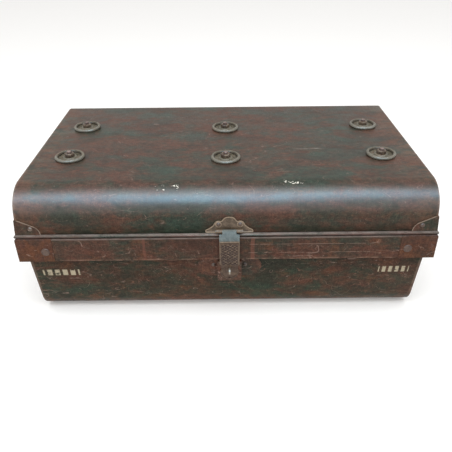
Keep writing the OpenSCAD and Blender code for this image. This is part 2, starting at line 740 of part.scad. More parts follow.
module staple_plate() color([0.40, 0.33, 0.27]) at_hasp() difference() {
    union() {
        on_base_front(0, plate_mid_z) linear_extrude(leaf) staple_plate_outline();
        along_x(box_width) box_side(0);
    }
    // the box is hollow, and the flange is cut away behind it
    along_x(box_width - 2 * leaf) box_side(leaf);
    difference() {
        translate([0, -far / 2 - base_depth_at(box_bottom) + 20, 0])
            cube([box_width + 2, far, far], center = true);
        along_x(far) polygon([
            [-base_depth_at(box_top + 30), box_top + 30], [-far, box_top + 30],
            [-far, box_bottom - 60], [-base_depth_at(box_bottom - 60), box_bottom - 60]]);
    }
    translate([0, staple_face_y, staple_z])
        cube([staple_thickness + 2 * staple_clear, 30, staple_height + 2 * staple_clear], center = true);
    staple_plate_holes() rivet_hole();
}

module staple_plate_rivets() color([0.44, 0.34, 0.28]) at_hasp()
    staple_plate_holes() translate([0, 0, leaf]) rivet(leaf + sheet);

// a flat tongue with a padlock hole, its foot behind the box's face
module padlock_staple() color([0.66, 0.64, 0.60]) at_hasp() {
    back_y = box_face_y(staple_z) + leaf + 1.2;
    difference() {
        union() {
            translate([-staple_thickness / 2, staple_hole_y, staple_z - staple_height / 2])
                cube([staple_thickness, back_y - staple_hole_y + staple_foot_thickness, staple_height]);
            translate([0, staple_hole_y, staple_z]) rotate([0, 90, 0])
                cylinder(h = staple_thickness, r = staple_hole_r + 2.2, center = true);
        }
        translate([0, staple_hole_y, staple_z]) rotate([0, 90, 0])
            cylinder(h = staple_thickness + 2, r = staple_hole_r, center = true);
    }
    translate([-staple_foot / 2, back_y, staple_z - staple_foot / 2])
        cube([staple_foot, staple_foot_thickness, staple_foot]);
}

// ---------- back hinges ----------

knuckle_length = (hinge_width - 2 * hinge_slit) / 3;

// the base leaf holds the outer knuckles, the lid leaf the middle one
module hinge_base_leaf(side) color([0.36, 0.30, 0.26]) difference() {
    union() {
        translate([side * hinge_x - hinge_width / 2, band_depth, base_height - hinge_leaf_drop])
            cube([hinge_width, leaf, hinge_leaf_drop - bend_r]);
        for (s = [-1, 1]) {
            x = side * hinge_x + s * (knuckle_length + hinge_slit);
            translate([x, hinge_axis_y, hinge_axis_z]) rotate([0, 90, 0])
                cylinder(h = knuckle_length, r = barrel_r, center = true);
            translate([x - knuckle_length / 2, band_depth, hinge_axis_z - barrel_r - leaf])
                cube([knuckle_length, leaf + barrel_gap + barrel_r, leaf + 0.5]);
        }
    }
    pin_bore(hinge_axis_y, hinge_axis_z, hinge_pin_r + lay);
    hinge_base_holes(side) rivet_hole();
}

module hinge_pin(side) color([0.40, 0.38, 0.35])
    translate([side * hinge_x, hinge_axis_y, hinge_axis_z]) rotate([0, 90, 0])
        cylinder(h = hinge_width + 1, r = hinge_pin_r, center = true);

// the lid leaf lies on the wall, steps out round the rolled rim and ends in the middle knuckle
module hinge_lid_leaf(side) color([0.36, 0.30, 0.26]) difference() {
    union() {
        on_lid_wall(side * hinge_x, hinge_leaf_foot, 1)
            translate([-hinge_width / 2, -hinge_leaf_rise, 0]) cube([hinge_width, hinge_leaf_rise, leaf]);
        translate([side * hinge_x, 0, 0]) along_x(knuckle_length) polygon([
            [lid_depth_at(hinge_leaf_foot) + lay, hinge_leaf_foot],
            [lid_depth_at(hinge_leaf_foot) + leaf, hinge_leaf_foot + 1],
            [hinge_axis_y + leaf / 2, bead_z + bead_r + 1.5],
            [hinge_axis_y + leaf / 2, hinge_axis_z],
            [hinge_axis_y - leaf / 2, hinge_axis_z],
            [hinge_axis_y - leaf / 2, bead_z + bead_r + 0.6]]);
        translate([side * hinge_x, hinge_axis_y, hinge_axis_z]) rotate([0, 90, 0])
            cylinder(h = knuckle_length, r = barrel_r, center = true);
        // the heel that stops the lid
        translate([side * hinge_x - knuckle_length / 2, hinge_axis_y, hinge_axis_z])
            rotate([-heel_angle, 0, 0]) translate([0, 0, -heel_thickness / 2])
                cube([knuckle_length, heel_length, heel_thickness]);
    }
    pin_bore(hinge_axis_y, hinge_axis_z, hinge_pin_r + pin_clear);
    hinge_lid_holes(side) rivet_hole();
}

module hinge_base_rivets() color([0.36, 0.27, 0.21])
    for (s = [-1, 1]) hinge_base_holes(s) translate([0, 0, leaf]) rivet(leaf + sheet);
module hinge_lid_rivets() color([0.36, 0.27, 0.21])
    for (s = [-1, 1]) hinge_lid_holes(s) translate([0, 0, leaf]) rivet(leaf + sheet);

// ---------- end handles ----------

// plate with two eyes, on the end panel, which lies one sheet inside the hem's face
module handle_plate(side) color([0.36, 0.30, 0.26]) difference() {
    union() {
        on_base_end(0, handle_axis_z, side) {
            translate([-handle_plate_height / 2, -handle_span / 2 - handle_plate_over, -sheet])
                cube([handle_plate_height, handle_span + 2 * handle_plate_over, handle_plate_t]);
        }
        for (y = [-1, 1]) {
            translate([side * handle_axis_x, y * handle_span / 2, handle_axis_z]) rotate([90, 0, 0])
                cylinder(h = eye_length, r = eye_r, center = true);
            translate([side * (handle_axis_x - eye_r / 2 - 1), y * handle_span / 2, handle_axis_z])
                cube([eye_r + 2, eye_length, 2 * eye_r - 3], center = true);
        }
    }
    translate([side * handle_axis_x, 0, handle_axis_z]) rotate([90, 0, 0])
        cylinder(h = far, r = rod_r + pin_clear, center = true);
    base_end_core();
    handle_holes(side) rivet_hole();
}

// the space inside the end panels' outer faces
module base_end_core() base_form(-20, sheet, tongue_height + 5);

module handle_rivets() color([0.36, 0.27, 0.21]) for (s = [-1, 1])
    handle_holes(s) translate([0, 0, handle_plate_t - sheet]) rivet(handle_plate_t + sheet + lay);

module rod(from, to) {
    d = to - from;
    translate(from) rotate([0, acos(d[2] / norm(d)), atan2(d[1], d[0])]) cylinder(h = norm(d), r = rod_r);
}

// the bail hangs straight down from its eyes
module handle(side) color([0.34, 0.30, 0.27]) {
    x = side * handle_axis_x;
    elbow = handle_span / 2 - eye_length / 2 - rod_r - handle_play;
    grip = elbow - handle_arm_in;
    low = handle_axis_z - handle_drop;
    for (s = [-1, 1]) {
        translate([x, s * elbow, handle_axis_z]) rotate([-s * 90, 0, 0])
            cylinder(h = handle_span / 2 - elbow + eye_length / 2 + handle_play, r = rod_r);
        translate([x, s * elbow, handle_axis_z]) sphere(rod_r);
        rod([x, s * grip, low], [x, s * elbow, handle_axis_z]);
        translate([x, s * grip, low]) sphere(rod_r);
    }
    translate([x, 0, low]) rotate([90, 0, 0]) cylinder(h = 2 * grip, r = rod_r, center = true);
}

base_wrap();
base_end(-1);  // base_end_left
base_end(1);  // base_end_right
band_wall(-1);  // band_front
band_wall(1);  // band_back
band_end(-1);  // band_left
band_end(1);  // band_right
band_corner(-1, -1);  // band_corner_front_left
band_corner(1, -1);  // band_corner_front_right
band_corner(-1, 1);  // band_corner_back_left
band_corner(1, 1);  // band_corner_back_right
band_corner_rivets();
staple_plate();
padlock_staple();
staple_plate_rivets();
hinge_base_leaf(-1);  // hinge_base_leaf_left
hinge_base_leaf(1);  // hinge_base_leaf_right
hinge_pin(-1);  // hinge_pin_left
hinge_pin(1);  // hinge_pin_right
hinge_base_rivets();
handle_plate(-1);  // handle_plate_left
handle_plate(1);  // handle_plate_right
handle_rivets();
lid_wrap();
lid_end(-1);  // lid_end_left
lid_end(1);  // lid_end_right
lid_rim_wire();
lid_corner(-1, -1);  // lid_corner_front_left
lid_corner(1, -1);  // lid_corner_front_right
lid_corner(-1, 1);  // lid_corner_back_left
lid_corner(1, 1);  // lid_corner_back_right
lid_corner_rivets();
cup_washer(-1, 0);  // cup_washer_front_left
cup_washer(0, 0);  // cup_washer_front_middle
cup_washer(1, 0);  // cup_washer_front_right
cup_washer(-1, 1);  // cup_washer_back_left
cup_washer(0, 1);  // cup_washer_back_middle
cup_washer(1, 1);  // cup_washer_back_right
washer_nuts();
washer_bolts();
lid_strap(-1);  // lid_strap_left
lid_strap(0);  // lid_strap_middle
lid_strap(1);  // lid_strap_right
hasp_plate();
hasp_plate_rivets();
hasp_pin();
hinge_lid_leaf(-1);  // hinge_lid_leaf_left
hinge_lid_leaf(1);  // hinge_lid_leaf_right
hinge_lid_rivets();
hasp_strap();
handle(-1);  // handle_left
handle(1);  // handle_right
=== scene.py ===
import bpy
import bmesh
import math
from mathutils import Matrix, Vector


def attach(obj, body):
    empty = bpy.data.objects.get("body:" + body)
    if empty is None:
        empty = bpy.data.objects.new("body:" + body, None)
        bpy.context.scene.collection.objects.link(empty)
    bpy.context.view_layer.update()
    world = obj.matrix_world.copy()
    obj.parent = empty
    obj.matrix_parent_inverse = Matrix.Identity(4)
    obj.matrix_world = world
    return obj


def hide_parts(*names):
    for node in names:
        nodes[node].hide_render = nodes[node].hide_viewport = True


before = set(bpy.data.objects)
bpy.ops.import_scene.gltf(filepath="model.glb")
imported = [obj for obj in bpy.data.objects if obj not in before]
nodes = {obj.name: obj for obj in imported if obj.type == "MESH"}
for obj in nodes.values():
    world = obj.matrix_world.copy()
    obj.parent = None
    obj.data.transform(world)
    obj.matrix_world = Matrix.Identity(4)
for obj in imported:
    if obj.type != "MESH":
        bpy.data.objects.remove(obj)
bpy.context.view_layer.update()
mm = 0.001

# ---------------------------------------------------------------------------------------------
# The base tray. One sheet of 20 gauge steel is bent into the front wall, floor and back wall.
# Its ends fold over the end panels as a hem. It is painted dark green over a red-brown primer,
# and the paint has worn through in streaks that run along the trunk.

rim_z = 190 * mm                 # the ledge that the lid closes on
sheet = 0.9 * mm
tray_half_depth = 233.5 * mm
tray_half_length = 373.5 * mm
tray_wall_lean = math.radians(8)
tray_end_lean = math.radians(1)
tray_corner = 40 * mm
tongue = 11 * mm                 # how far the tray's walls reach up past the ledge
hem_width = 8 * mm
fold = 1.6 * mm                  # outside radius of a folded edge

dark_green = (0.036, 0.044, 0.036)
teal_green = (0.032, 0.060, 0.050)
primer_red = (0.105, 0.052, 0.040)
primer_brown = (0.074, 0.050, 0.040)
bare_rust = (0.150, 0.068, 0.034)
grime = (0.024, 0.020, 0.016)
scratch_pink = (0.27, 0.18, 0.145)
worn_cream = (0.44, 0.38, 0.27)


def new_finish(name):
    """A material with one surface shader, and its node tree and shader."""
    finish = bpy.data.materials.new(name)
    finish.use_nodes = True
    tree = finish.node_tree
    tree.nodes.clear()
    end = tree.nodes.new("ShaderNodeOutputMaterial")
    skin = tree.nodes.new("ShaderNodeBsdfPrincipled")
    tree.links.new(skin.outputs["BSDF"], end.inputs["Surface"])
    return finish, tree, skin


def plug(tree, socket, value):
    """Joins a value, which is another node's output or a plain number or colour, to a socket."""
    if isinstance(value, bpy.types.NodeSocket):
        tree.links.new(value, socket)
    elif isinstance(value, tuple) and len(value) == 3 and socket.type == "RGBA":
        socket.default_value = (*value, 1)
    else:
        socket.default_value = value


def calc(tree, operation, a, b=0.0):
    """A Math node's result."""
    made = tree.nodes.new("ShaderNodeMath")
    made.operation = operation
    for socket, value in zip(made.inputs, (a, b)):
        plug(tree, socket, value)
    return made.outputs[0]


def times(tree, a, b):
    return calc(tree, "MULTIPLY", a, b)


def plus(tree, a, b):
    return calc(tree, "ADD", a, b)


def minus(tree, a, b):
    return calc(tree, "SUBTRACT", a, b)


def size_of(tree, a):
    return calc(tree, "ABSOLUTE", a)


def away(tree, a, b, middle):
    """How far the point (a, b) is from a middle."""
    squares = [calc(tree, "POWER", minus(tree, value, centre), 2.0) for value, centre in zip((a, b), middle)]
    return calc(tree, "POWER", plus(tree, *squares), 0.5)


def tint(tree, share, a, b, way="MIX"):
    """Colour a where share is 0 and b where it is 1."""
    made = tree.nodes.new("ShaderNodeMix")
    made.data_type = "RGBA"
    made.blend_type = way
    plug(tree, made.inputs["Factor"], share)
    plug(tree, [s for s in made.inputs if s.name == "A" and s.type == "RGBA"][0], a)
    plug(tree, [s for s in made.inputs if s.name == "B" and s.type == "RGBA"][0], b)
    return [s for s in made.outputs if s.type == "RGBA"][0]


def ramp(tree, value, low, high, to_low=0.0, to_high=1.0):
    """A smooth step of value from to_low at low to to_high at high."""
    made = tree.nodes.new("ShaderNodeMapRange")
    made.interpolation_type = "SMOOTHSTEP"
    for name, number in (("From Min", low), ("From Max", high), ("To Min", to_low), ("To Max", to_high)):
        plug(tree, made.inputs[name], number)
    plug(tree, made.inputs["Value"], value)
    return made.outputs["Result"]


def place(tree):
    """Object coordinates, whole and split into X, Y and Z."""
    spot = tree.nodes.new("ShaderNodeTexCoord").outputs["Object"]
    split = tree.nodes.new("ShaderNodeSeparateXYZ")
    tree.links.new(spot, split.inputs[0])
    return spot, split.outputs[0], split.outputs[1], split.outputs[2]


def mottle(tree, spot, grain, detail=6.0, rough=0.6, stretch=(1, 1, 1), shift=(0, 0, 0), curl=0.0):
    """Noise with features about grain metres across, drawn out along the axes by stretch."""
    turn = tree.nodes.new("ShaderNodeMapping")
    turn.inputs["Scale"].default_value = [1 / s for s in stretch]
    turn.inputs["Location"].default_value = shift
    tree.links.new(spot, turn.inputs["Vector"])
    made = tree.nodes.new("ShaderNodeTexNoise")
    made.inputs["Scale"].default_value = 1 / grain
    made.inputs["Detail"].default_value = detail
    made.inputs["Roughness"].default_value = rough
    made.inputs["Distortion"].default_value = curl
    tree.links.new(turn.outputs[0], made.inputs["Vector"])
    return made.outputs["Fac"]


def hairlines(tree, spot, grain, width, stretch, shift, curl=0.6):
    """Thin curling scratches: the level lines of a noise, broken up by a second noise."""
    field = mottle(tree, spot, grain, 2.0, 0.45, stretch, shift, curl)
    line = ramp(tree, size_of(tree, minus(tree, field, 0.5)), width, width * 0.25)
    broken = mottle(tree, spot, grain * 0.55, 4.0, 0.7, (1, 1, 1), (shift[1], shift[2], shift[0] + 3))
    return times(tree, line, ramp(tree, broken, 0.50, 0.60))


def gray(tree, value):
    """A colour with value in all three channels."""
    made = tree.nodes.new("ShaderNodeCombineXYZ")
    for socket in made.inputs:
        tree.links.new(value, socket)
    return made.outputs[0]


def speckled(tree, colour, noise, swing):
    """The colour made darker and lighter by swing where the noise is low and high."""
    return tint(tree, 1.0, colour, gray(tree, ramp(tree, noise, 0.3, 0.7, 1 - swing, 1 + swing)), "MULTIPLY")


def relief(tree, skin, parts):
    """Bumps laid over each other. Each part is (noise, its height in metres)."""
    last = None
    for height, distance in parts:
        made = tree.nodes.new("ShaderNodeBump")
        made.inputs["Distance"].default_value = distance
        plug(tree, made.inputs["Height"], height)
        if last is not None:
            tree.links.new(last, made.inputs["Normal"])
        last = made.outputs["Normal"]
    tree.links.new(last, skin.inputs["Normal"])


def worn_paint(name, red=0.5, rust=0.0, shift=(0, 0, 0), gloss=0.36, scratches=0.5, dents=1.0, marks=None,
               bright=(1, 1, 1), streak=(1.7, 1, 1), edge=None, rub=(1, 9, 9), shine=0.14, polish=None):
    """Green paint worn through to primer. red is how much primer shows and rust how much bare rust.
    marks adds more to the colour, edge is a mask of folds rubbed bare, rub is the way it was wiped,
    bright scales the colour, and polish is a mask of places rubbed glossy."""
    finish, tree, skin = new_finish(name)
    spot, x, y, z = place(tree)
    broad = mottle(tree, spot, 0.090, 8.0, 0.64, streak, shift, 0.5)
    middle = mottle(tree, spot, 0.034, 8.0, 0.70, streak, (shift[1], shift[2] + 3, shift[0]), 0.4)
    fine = mottle(tree, spot, 0.013, 8.0, 0.74, streak, shift, 0.3)
    grain = mottle(tree, spot, 0.0015, 4.0, 0.8, (1.5, 1, 1), shift)
    wiped = mottle(tree, spot, 0.0022, 3.0, 0.6, rub, shift)
    worn = plus(tree, times(tree, broad, 0.52),
                plus(tree, times(tree, middle, 0.30), times(tree, fine, 0.18)))
    through = ramp(tree, plus(tree, worn, (red - 0.5) * 0.24), 0.425, 0.575)
    thin = mottle(tree, spot, 0.050, 6.0, 0.65, streak, (shift[0] + 7, shift[1], shift[2]))
    paint = tint(tree, ramp(tree, thin, 0.42, 0.62), dark_green, teal_green)
    primer = tint(tree, ramp(tree, middle, 0.38, 0.62), primer_brown, primer_red)
    colour = tint(tree, through, paint, primer)
    rusty = mottle(tree, spot, 0.030, 8.0, 0.72, streak, (5, shift[0], 2))
    rusty = ramp(tree, plus(tree, rusty, rust * 0.22), 0.58, 0.74)
    colour = tint(tree, times(tree, rusty, 0.35 + 0.5 * rust), colour, bare_rust)
    dirt = ramp(tree, mottle(tree, spot, 0.055, 8.0, 0.70, streak, (1, 4, shift[2])), 0.48, 0.68)
    colour = tint(tree, times(tree, dirt, 0.50), colour, grime)
    blotch = mottle(tree, spot, 0.0055, 3.0, 0.7, streak, (shift[2], 6, shift[0]))
    speck = times(tree, ramp(tree, grain, 0.34, 0.68, 0.70, 1.34), ramp(tree, wiped, 0.3, 0.7, 0.85, 1.16))
    speck = times(tree, speck, ramp(tree, blotch, 0.32, 0.68, 0.76, 1.26))
    colour = tint(tree, 1.0, colour, gray(tree, speck), "MULTIPLY")
    colour = tint(tree, 1.0, colour, bright, "MULTIPLY")
    lines = calc(tree, "MAXIMUM", hairlines(tree, spot, 0.062, 0.0040, (1.5, 1, 1), (shift[0], 2, 9)),
                 hairlines(tree, spot, 0.030, 0.0058, (1.0, 1, 1), (3, shift[0], 4), 1.3))
    long_lines = hairlines(tree, spot, 0.024, 0.0050, (8.0, 1, 1), (1, 8, shift[0]), 0.1)
    lines = times(tree, calc(tree, "MAXIMUM", lines, long_lines), scratches)
    colour = tint(tree, lines, colour, scratch_pink)
    if edge is not None:
        bare = edge(tree, x, y, z)
        nibble = ramp(tree, plus(tree, times(tree, bare, 0.42), fine), 0.66, 0.92)
        colour = tint(tree, times(tree, nibble, 0.6), colour, (0.150, 0.105, 0.080))
    if marks is not None:
        colour = marks(tree, colour, spot, x, y, z, fine)
    tree.links.new(colour, skin.inputs["Base Color"])
    dull = ramp(tree, through, 0, 1, gloss, gloss + 0.06)
    dull = plus(tree, ramp(tree, middle, 0.3, 0.7, -0.07, 0.08), dull)
    dull = plus(tree, dull, ramp(tree, wiped, 0.3, 0.7, -0.06, 0.06))
    tree.links.new(dull, skin.inputs["Roughness"])
    skin.inputs["Specular IOR Level"].default_value = shine
    if polish is not None:
        glossy = polish(tree, x, y, z)
        tree.links.new(ramp(tree, glossy, 0, 1, shine, 0.60), skin.inputs["Specular IOR Level"])
        tree.links.new(times(tree, glossy, 0.5), skin.inputs["Coat Weight"])
        skin.inputs["Coat Roughness"].default_value = 0.30
    waves = mottle(tree, spot, 0.15, 2.0, 0.4, (1.4, 1, 1), shift)
    knocks = mottle(tree, spot, 0.030, 3.0, 0.5, (1.5, 1, 1), shift)
    relief(tree, skin, [(waves, 0.0050 * dents), (knocks, 0.00050 * dents),
                        (minus(tree, fine, times(tree, lines, 0.5)), 0.00020),
                        (grain, 0.00006)])
    return finish


def mask_box(tree, across, up, middle_across, middle_up, half_across, half_up, soft):
    """1 inside a rectangle of the two coordinates, fading to 0 over soft."""
    sides = size_of(tree, minus(tree, across, middle_across))
    rows = size_of(tree, minus(tree, up, middle_up))
    return times(tree, ramp(tree, sides, half_across, half_across - soft),
                ramp(tree, rows, half_up, half_up - soft))


def base_marks(tree, colour, spot, x, y, z, fine):
    """Curling scratches, two rows of plain worn cream strokes on the front, and rust low down."""
    front = ramp(tree, y, -0.15, -0.17)
    curls = calc(tree, "MAXIMUM", hairlines(tree, spot, 0.028, 0.0110, (1.5, 1, 1), (11, 2, 5), 2.2),
                 hairlines(tree, spot, 0.048, 0.0070, (2.6, 1, 1), (4, 12, 5), 1.2))
    patch = ramp(tree, mottle(tree, spot, 0.070, 4.0, 0.6, (1.6, 1, 1), (8, 8, 1)), 0.44, 0.58)
    curls = times(tree, times(tree, curls, patch), 0.75)
    colour = tint(tree, curls, colour, (0.190, 0.090, 0.062))
    for middle, half, pitch in ((-0.319, 0.036, 0.0148), (0.322, 0.030, 0.0124)):
        row = mask_box(tree, x, z, middle, 0.1000, half, 0.0080, 0.0012)
        wave = calc(tree, "PINGPONG", minus(tree, x, middle), pitch / 2)
        stroke = ramp(tree, wave, 0.0022, 0.0032)
        kept = ramp(tree, fine, 0.38, 0.50)
        strength = times(tree, times(tree, row, stroke), times(tree, kept, front))
        colour = tint(tree, times(tree, strength, 0.85), colour, worn_cream)
    low = times(tree, ramp(tree, z, 0.060, 0.0), ramp(tree, fine, 0.42, 0.60))
    return tint(tree, times(tree, low, 0.45), colour, bare_rust)


def tray_edge(tree, x, y, z):
    """The folds at the tray's two ends."""
    foot_half_length = tray_half_length - rim_z * math.tan(tray_end_lean)
    return ramp(tree, minus(tree, foot_half_length, size_of(tree, x)), 0.007, 0.001)


def trough_outline(half, height, lean, corner, inset, over, steps=24):
    """Front wall, flat and back wall as points (across, up) from the rim, inset inside the outer face.
    The walls run on past the rim by over."""
    radius = corner - inset
    centre_up = height - corner
    centre_across = half - centre_up * math.tan(lean) - corner / math.cos(lean)
    foot = half + over * math.tan(lean) - inset / math.cos(lean)
    side = [(foot, -over)]
    for i in range(steps + 1):
        angle = lean + (math.pi / 2 - lean) * i / steps
        side.append((centre_across + radius * math.cos(angle), centre_up + radius * math.sin(angle)))
    return [(-a, u) for a, u in side] + [(a, u) for a, u in reversed(side)]


def bent_sheet(name, half, height, lean, corner, over, half_length, end_lean, up_sign):
    """A sheet bent to the trough's outline, its ends folded in as hems. The wall grows inwards."""
    mesh = bpy.data.meshes.new(name)
    work = bmesh.new()
    loops = []
    for end, inset in ((-1, hem_width), (-1, 0.0), (1, 0.0), (1, hem_width)):
        outline = trough_outline(half, height, lean, corner, inset, over)
        row = []
        for across, up in outline:
            length = half_length - up * math.tan(end_lean)
            row.append(work.verts.new((end * length, across, rim_z + up_sign * up)))
        edges = [work.edges.new(pair) for pair in zip(row, row[1:])]
        loops.append(edges)
    for a, b in zip(loops, loops[1:]):
        bmesh.ops.bridge_loops(work, edges=a + b)
    bmesh.ops.bevel(work, geom=loops[1] + loops[2], offset=fold, offset_type="OFFSET", affect="EDGES",
                    segments=4, profile=0.5, material=-1)
    bmesh.ops.recalc_face_normals(work, faces=work.faces)
    outward = sum((f.normal.z * up_sign * f.calc_area() for f in work.faces))
    if outward < 0:
        bmesh.ops.reverse_faces(work, faces=work.faces)
    work.to_mesh(mesh)
    work.free()
    made = bpy.data.objects.new(name, mesh)
    bpy.context.scene.collection.objects.link(made)
    for face in mesh.polygons:
        face.use_smooth = True
    thick = made.modifiers.new("gauge", "SOLIDIFY")
    thick.thickness = sheet
    thick.offset = -1
    thick.use_even_offset = True
    return made


def wear(thing, finish):
    """Gives a piece its only material."""
    thing.data.materials.clear()
    thing.data.materials.append(finish)


base_paint = worn_paint("base_paint", red=0.46, rust=0.30, shift=(3.1, 0, 0), gloss=0.42, scratches=0.55,
                        marks=base_marks, edge=tray_edge, bright=(0.69, 0.58, 0.43))
tray = bent_sheet("base_tray", tray_half_depth, rim_z, tray_wall_lean, tray_corner, tongue, tray_half_length,
                  tray_end_lean, -1)
wear(tray, base_paint)
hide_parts("base_wrap")
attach(tray, "base")
base_end_paint = worn_paint("base_end_paint", red=0.55, rust=0.3, shift=(0, 5.3, 0), gloss=0.40,
                            scratches=0.5, bright=(0.69, 0.58, 0.43), streak=(1, 1.7, 1), rub=(9, 1, 9))
for side in ("left", "right"):
    wear(nodes["base_end_" + side], base_end_paint)

# ---------------------------------------------------------------------------------------------
# The rim band. Four strips stand off the tray on a seat, turn over a rounded ledge and hang down
# as a deep face with a hemmed lower edge. Their paint has rubbed down to primer and rust.

band_half_depth = 242.5 * mm
band_half_length = 382.5 * mm
band_low = 142 * mm


def band_marks(tree, colour, spot, x, y, z, fine):
    """Two upright touches of red paint, two thin ruled lines, a lighter top bend, and rusty ends and hem."""
    front = ramp(tree, y, 7.5 * mm - band_half_depth, 2.5 * mm - band_half_depth)
    for middle, half in ((-0.151, 0.0032), (0.0475, 0.0042)):
        stripe = mask_box(tree, x, z, middle, 0.166, half, 0.026, 0.0016)
        stripe = times(tree, times(tree, stripe, front), ramp(tree, fine, 0.34, 0.52))
        colour = tint(tree, times(tree, stripe, 0.6), colour, (0.140, 0.052, 0.034))
    for level in (0.1565, 0.1750):
        line = mask_box(tree, x, z, 0.155, level, 0.115, 0.00045, 0.0002)
        line = times(tree, times(tree, line, front), ramp(tree, fine, 0.44, 0.54))
        colour = tint(tree, times(tree, line, 0.7), colour, scratch_pink)
    ends = ramp(tree, size_of(tree, x), 0.30, band_half_length - 4.5 * mm)
    rusty = times(tree, ends, ramp(tree, fine, 0.38, 0.60))
    colour = tint(tree, times(tree, rusty, 0.55), colour, (0.125, 0.050, 0.022))
    # The top bend is made lighter.
    bend = times(tree, ramp(tree, z, rim_z - 3.5 * mm, rim_z - 0.8 * mm),
                ramp(tree, fine, 0.34, 0.62, 0.35, 0.9))
    colour = tint(tree, bend, colour, (0.17, 0.125, 0.105))
    low = times(tree, ramp(tree, z, band_low + 4.5 * mm, band_low + 0.5 * mm),
               ramp(tree, fine, 0.44, 0.60))
    return tint(tree, times(tree, low, 0.6), colour, (0.20, 0.12, 0.085))


band_paint = worn_paint("band_paint", red=0.70, rust=0.35, shift=(0, 0, 6.7), gloss=0.40, scratches=0.55,
                        dents=0.5, marks=band_marks, bright=(0.68, 0.55, 0.44))
for side in ("front", "back", "left", "right"):
    wear(nodes["band_" + side], band_paint)

# ---------------------------------------------------------------------------------------------
# The band's corner plates, rusted orange-brown, and their wide flat rivets, dark brown.

corner_names = ("front_left", "front_right", "back_left", "back_right")
corner_paint = worn_paint("band_corner_paint", red=0.76, rust=0.60, shift=(9.1, 2, 0), gloss=0.40,
                          scratches=0.5, dents=0.5, streak=(1.2, 1.2, 1), bright=(0.66, 0.52, 0.40))
for corner in corner_names:
    wear(nodes["band_corner_" + corner], corner_paint)


def rubbed_metal(name, colour, dark, rough, grain=0.004, metal=0.75, shift=0.0):
    """Steel with thin paint and rust left in its hollows."""
    finish, tree, skin = new_finish(name)
    spot, x, y, z = place(tree)
    patches = mottle(tree, spot, grain * 3, 7.0, 0.68, (1, 1, 1), (shift, 1, 2), 0.5)
    fine = mottle(tree, spot, grain * 0.25, 4.0, 0.75, (1, 1, 1), (shift, 3, 4))
    kept = ramp(tree, patches, 0.40, 0.66)
    mixed = tint(tree, kept, dark, colour)
    mixed = speckled(tree, mixed, fine, 0.28)
    tree.links.new(mixed, skin.inputs["Base Color"])
    tree.links.new(ramp(tree, kept, 0, 1, 0.15, metal), skin.inputs["Metallic"])
    blend = plus(tree, times(tree, patches, 0.6), times(tree, fine, 0.4))
    tree.links.new(ramp(tree, blend, 0.35, 0.65, rough + 0.12, rough - 0.05), skin.inputs["Roughness"])
    relief(tree, skin, [(patches, 0.00025), (fine, 0.00010)])
    return finish


band_rivet_steel = rubbed_metal("band_rivet_steel", (0.095, 0.056, 0.038), (0.055, 0.028, 0.018), 0.46,
                                metal=0.15)
wear(nodes["band_corner_rivets"], band_rivet_steel)

# ---------------------------------------------------------------------------------------------
# The lid shell. One sheet makes the front wall, both round shoulders, the top and the back wall.
# Its ends fold over the end panels and its lower edges roll round a wire.

lid_half_depth = 240 * mm
lid_half_length = 380 * mm
lid_height = 92 * mm
lid_wall_lean = math.radians(6)
lid_end_lean = math.radians(3)
lid_shoulder = 46 * mm
lid_top = rim_z + lid_height
bead_radius = 3.5 * mm
bead_z = rim_z + 5 * mm
bead_y = lid_half_depth - 0.5 * mm
bead_x = lid_half_length - 0.5 * mm


def lid_marks(tree, colour, spot, x, y, z, fine):
    """Chips of old white paint on the front shoulder, a pale scuff on the top, and rust at both ends."""
    flecks = mottle(tree, spot, 0.0065, 3.0, 0.7, (1.3, 1, 1), (2, 2, 7))
    for across, half, back in ((-0.0905, 0.0075, -0.2105), (0.118, 0.022, -0.201), (-0.115, 0.012, -0.211)):
        group = mask_box(tree, x, y, across, back, half, 0.0065, 0.003)
        chip = times(tree, group, ramp(tree, flecks, 0.565, 0.600))
        colour = tint(tree, chip, colour, (0.72, 0.70, 0.62))
    aslant = plus(tree, y, times(tree, x, -0.10))
    scuff = mask_box(tree, x, aslant, 0.172, -0.076, 0.038, 0.006, 0.006)
    rub = mottle(tree, spot, 0.006, 4.0, 0.7, (9, 1, 1), (4, 1, 1))
    scuff = times(tree, times(tree, scuff, ramp(tree, rub, 0.46, 0.62)), 0.6)
    colour = tint(tree, scuff, colour, (0.36, 0.35, 0.31))
    ends = ramp(tree, size_of(tree, x), 0.300, lid_half_length - 8 * mm)
    rusty = times(tree, ends, ramp(tree, fine, 0.42, 0.62))
    return tint(tree, times(tree, rusty, 0.45), colour, (0.150, 0.075, 0.042))


def lid_edge(tree, x, y, z):
    """The folds at the lid's two ends, which lean in towards the top."""
    lean = times(tree, minus(tree, z, rim_z), math.tan(lid_end_lean))
    length = minus(tree, lid_half_length, lean)
    return ramp(tree, minus(tree, length, size_of(tree, x)), 0.007, 0.001)


def lid_shoulders(tree, x, y, z):
    """The round shoulders, polished by handling, and a little of the same on the flat top."""
    return times(tree, ramp(tree, z, rim_z + 36 * mm, rim_z + 68 * mm),
                ramp(tree, z, lid_top - 0.5 * mm, lid_top - 18 * mm, 0.30, 1.0))


lid_paint = worn_paint("lid_paint", red=0.56, rust=0.10, shift=(0, 0, 0), gloss=0.45, scratches=0.36,
                       marks=lid_marks, edge=lid_edge, bright=(0.76, 0.68, 0.57), polish=lid_shoulders)
lid_skin = bent_sheet("lid_shell", lid_half_depth, lid_height, lid_wall_lean, lid_shoulder, -5 * mm,
                      lid_half_length, lid_end_lean, 1)
wear(lid_skin, lid_paint)
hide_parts("lid_wrap")
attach(lid_skin, "lid")
lid_end_paint = worn_paint("lid_end_paint", red=0.58, rust=0.3, shift=(0, 7.7, 1), gloss=0.36, scratches=0.45,
                           streak=(1, 1.7, 1), rub=(9, 1, 9), bright=(0.74, 0.66, 0.55))
for side in ("left", "right"):
    wear(nodes["lid_end_" + side], lid_end_paint)
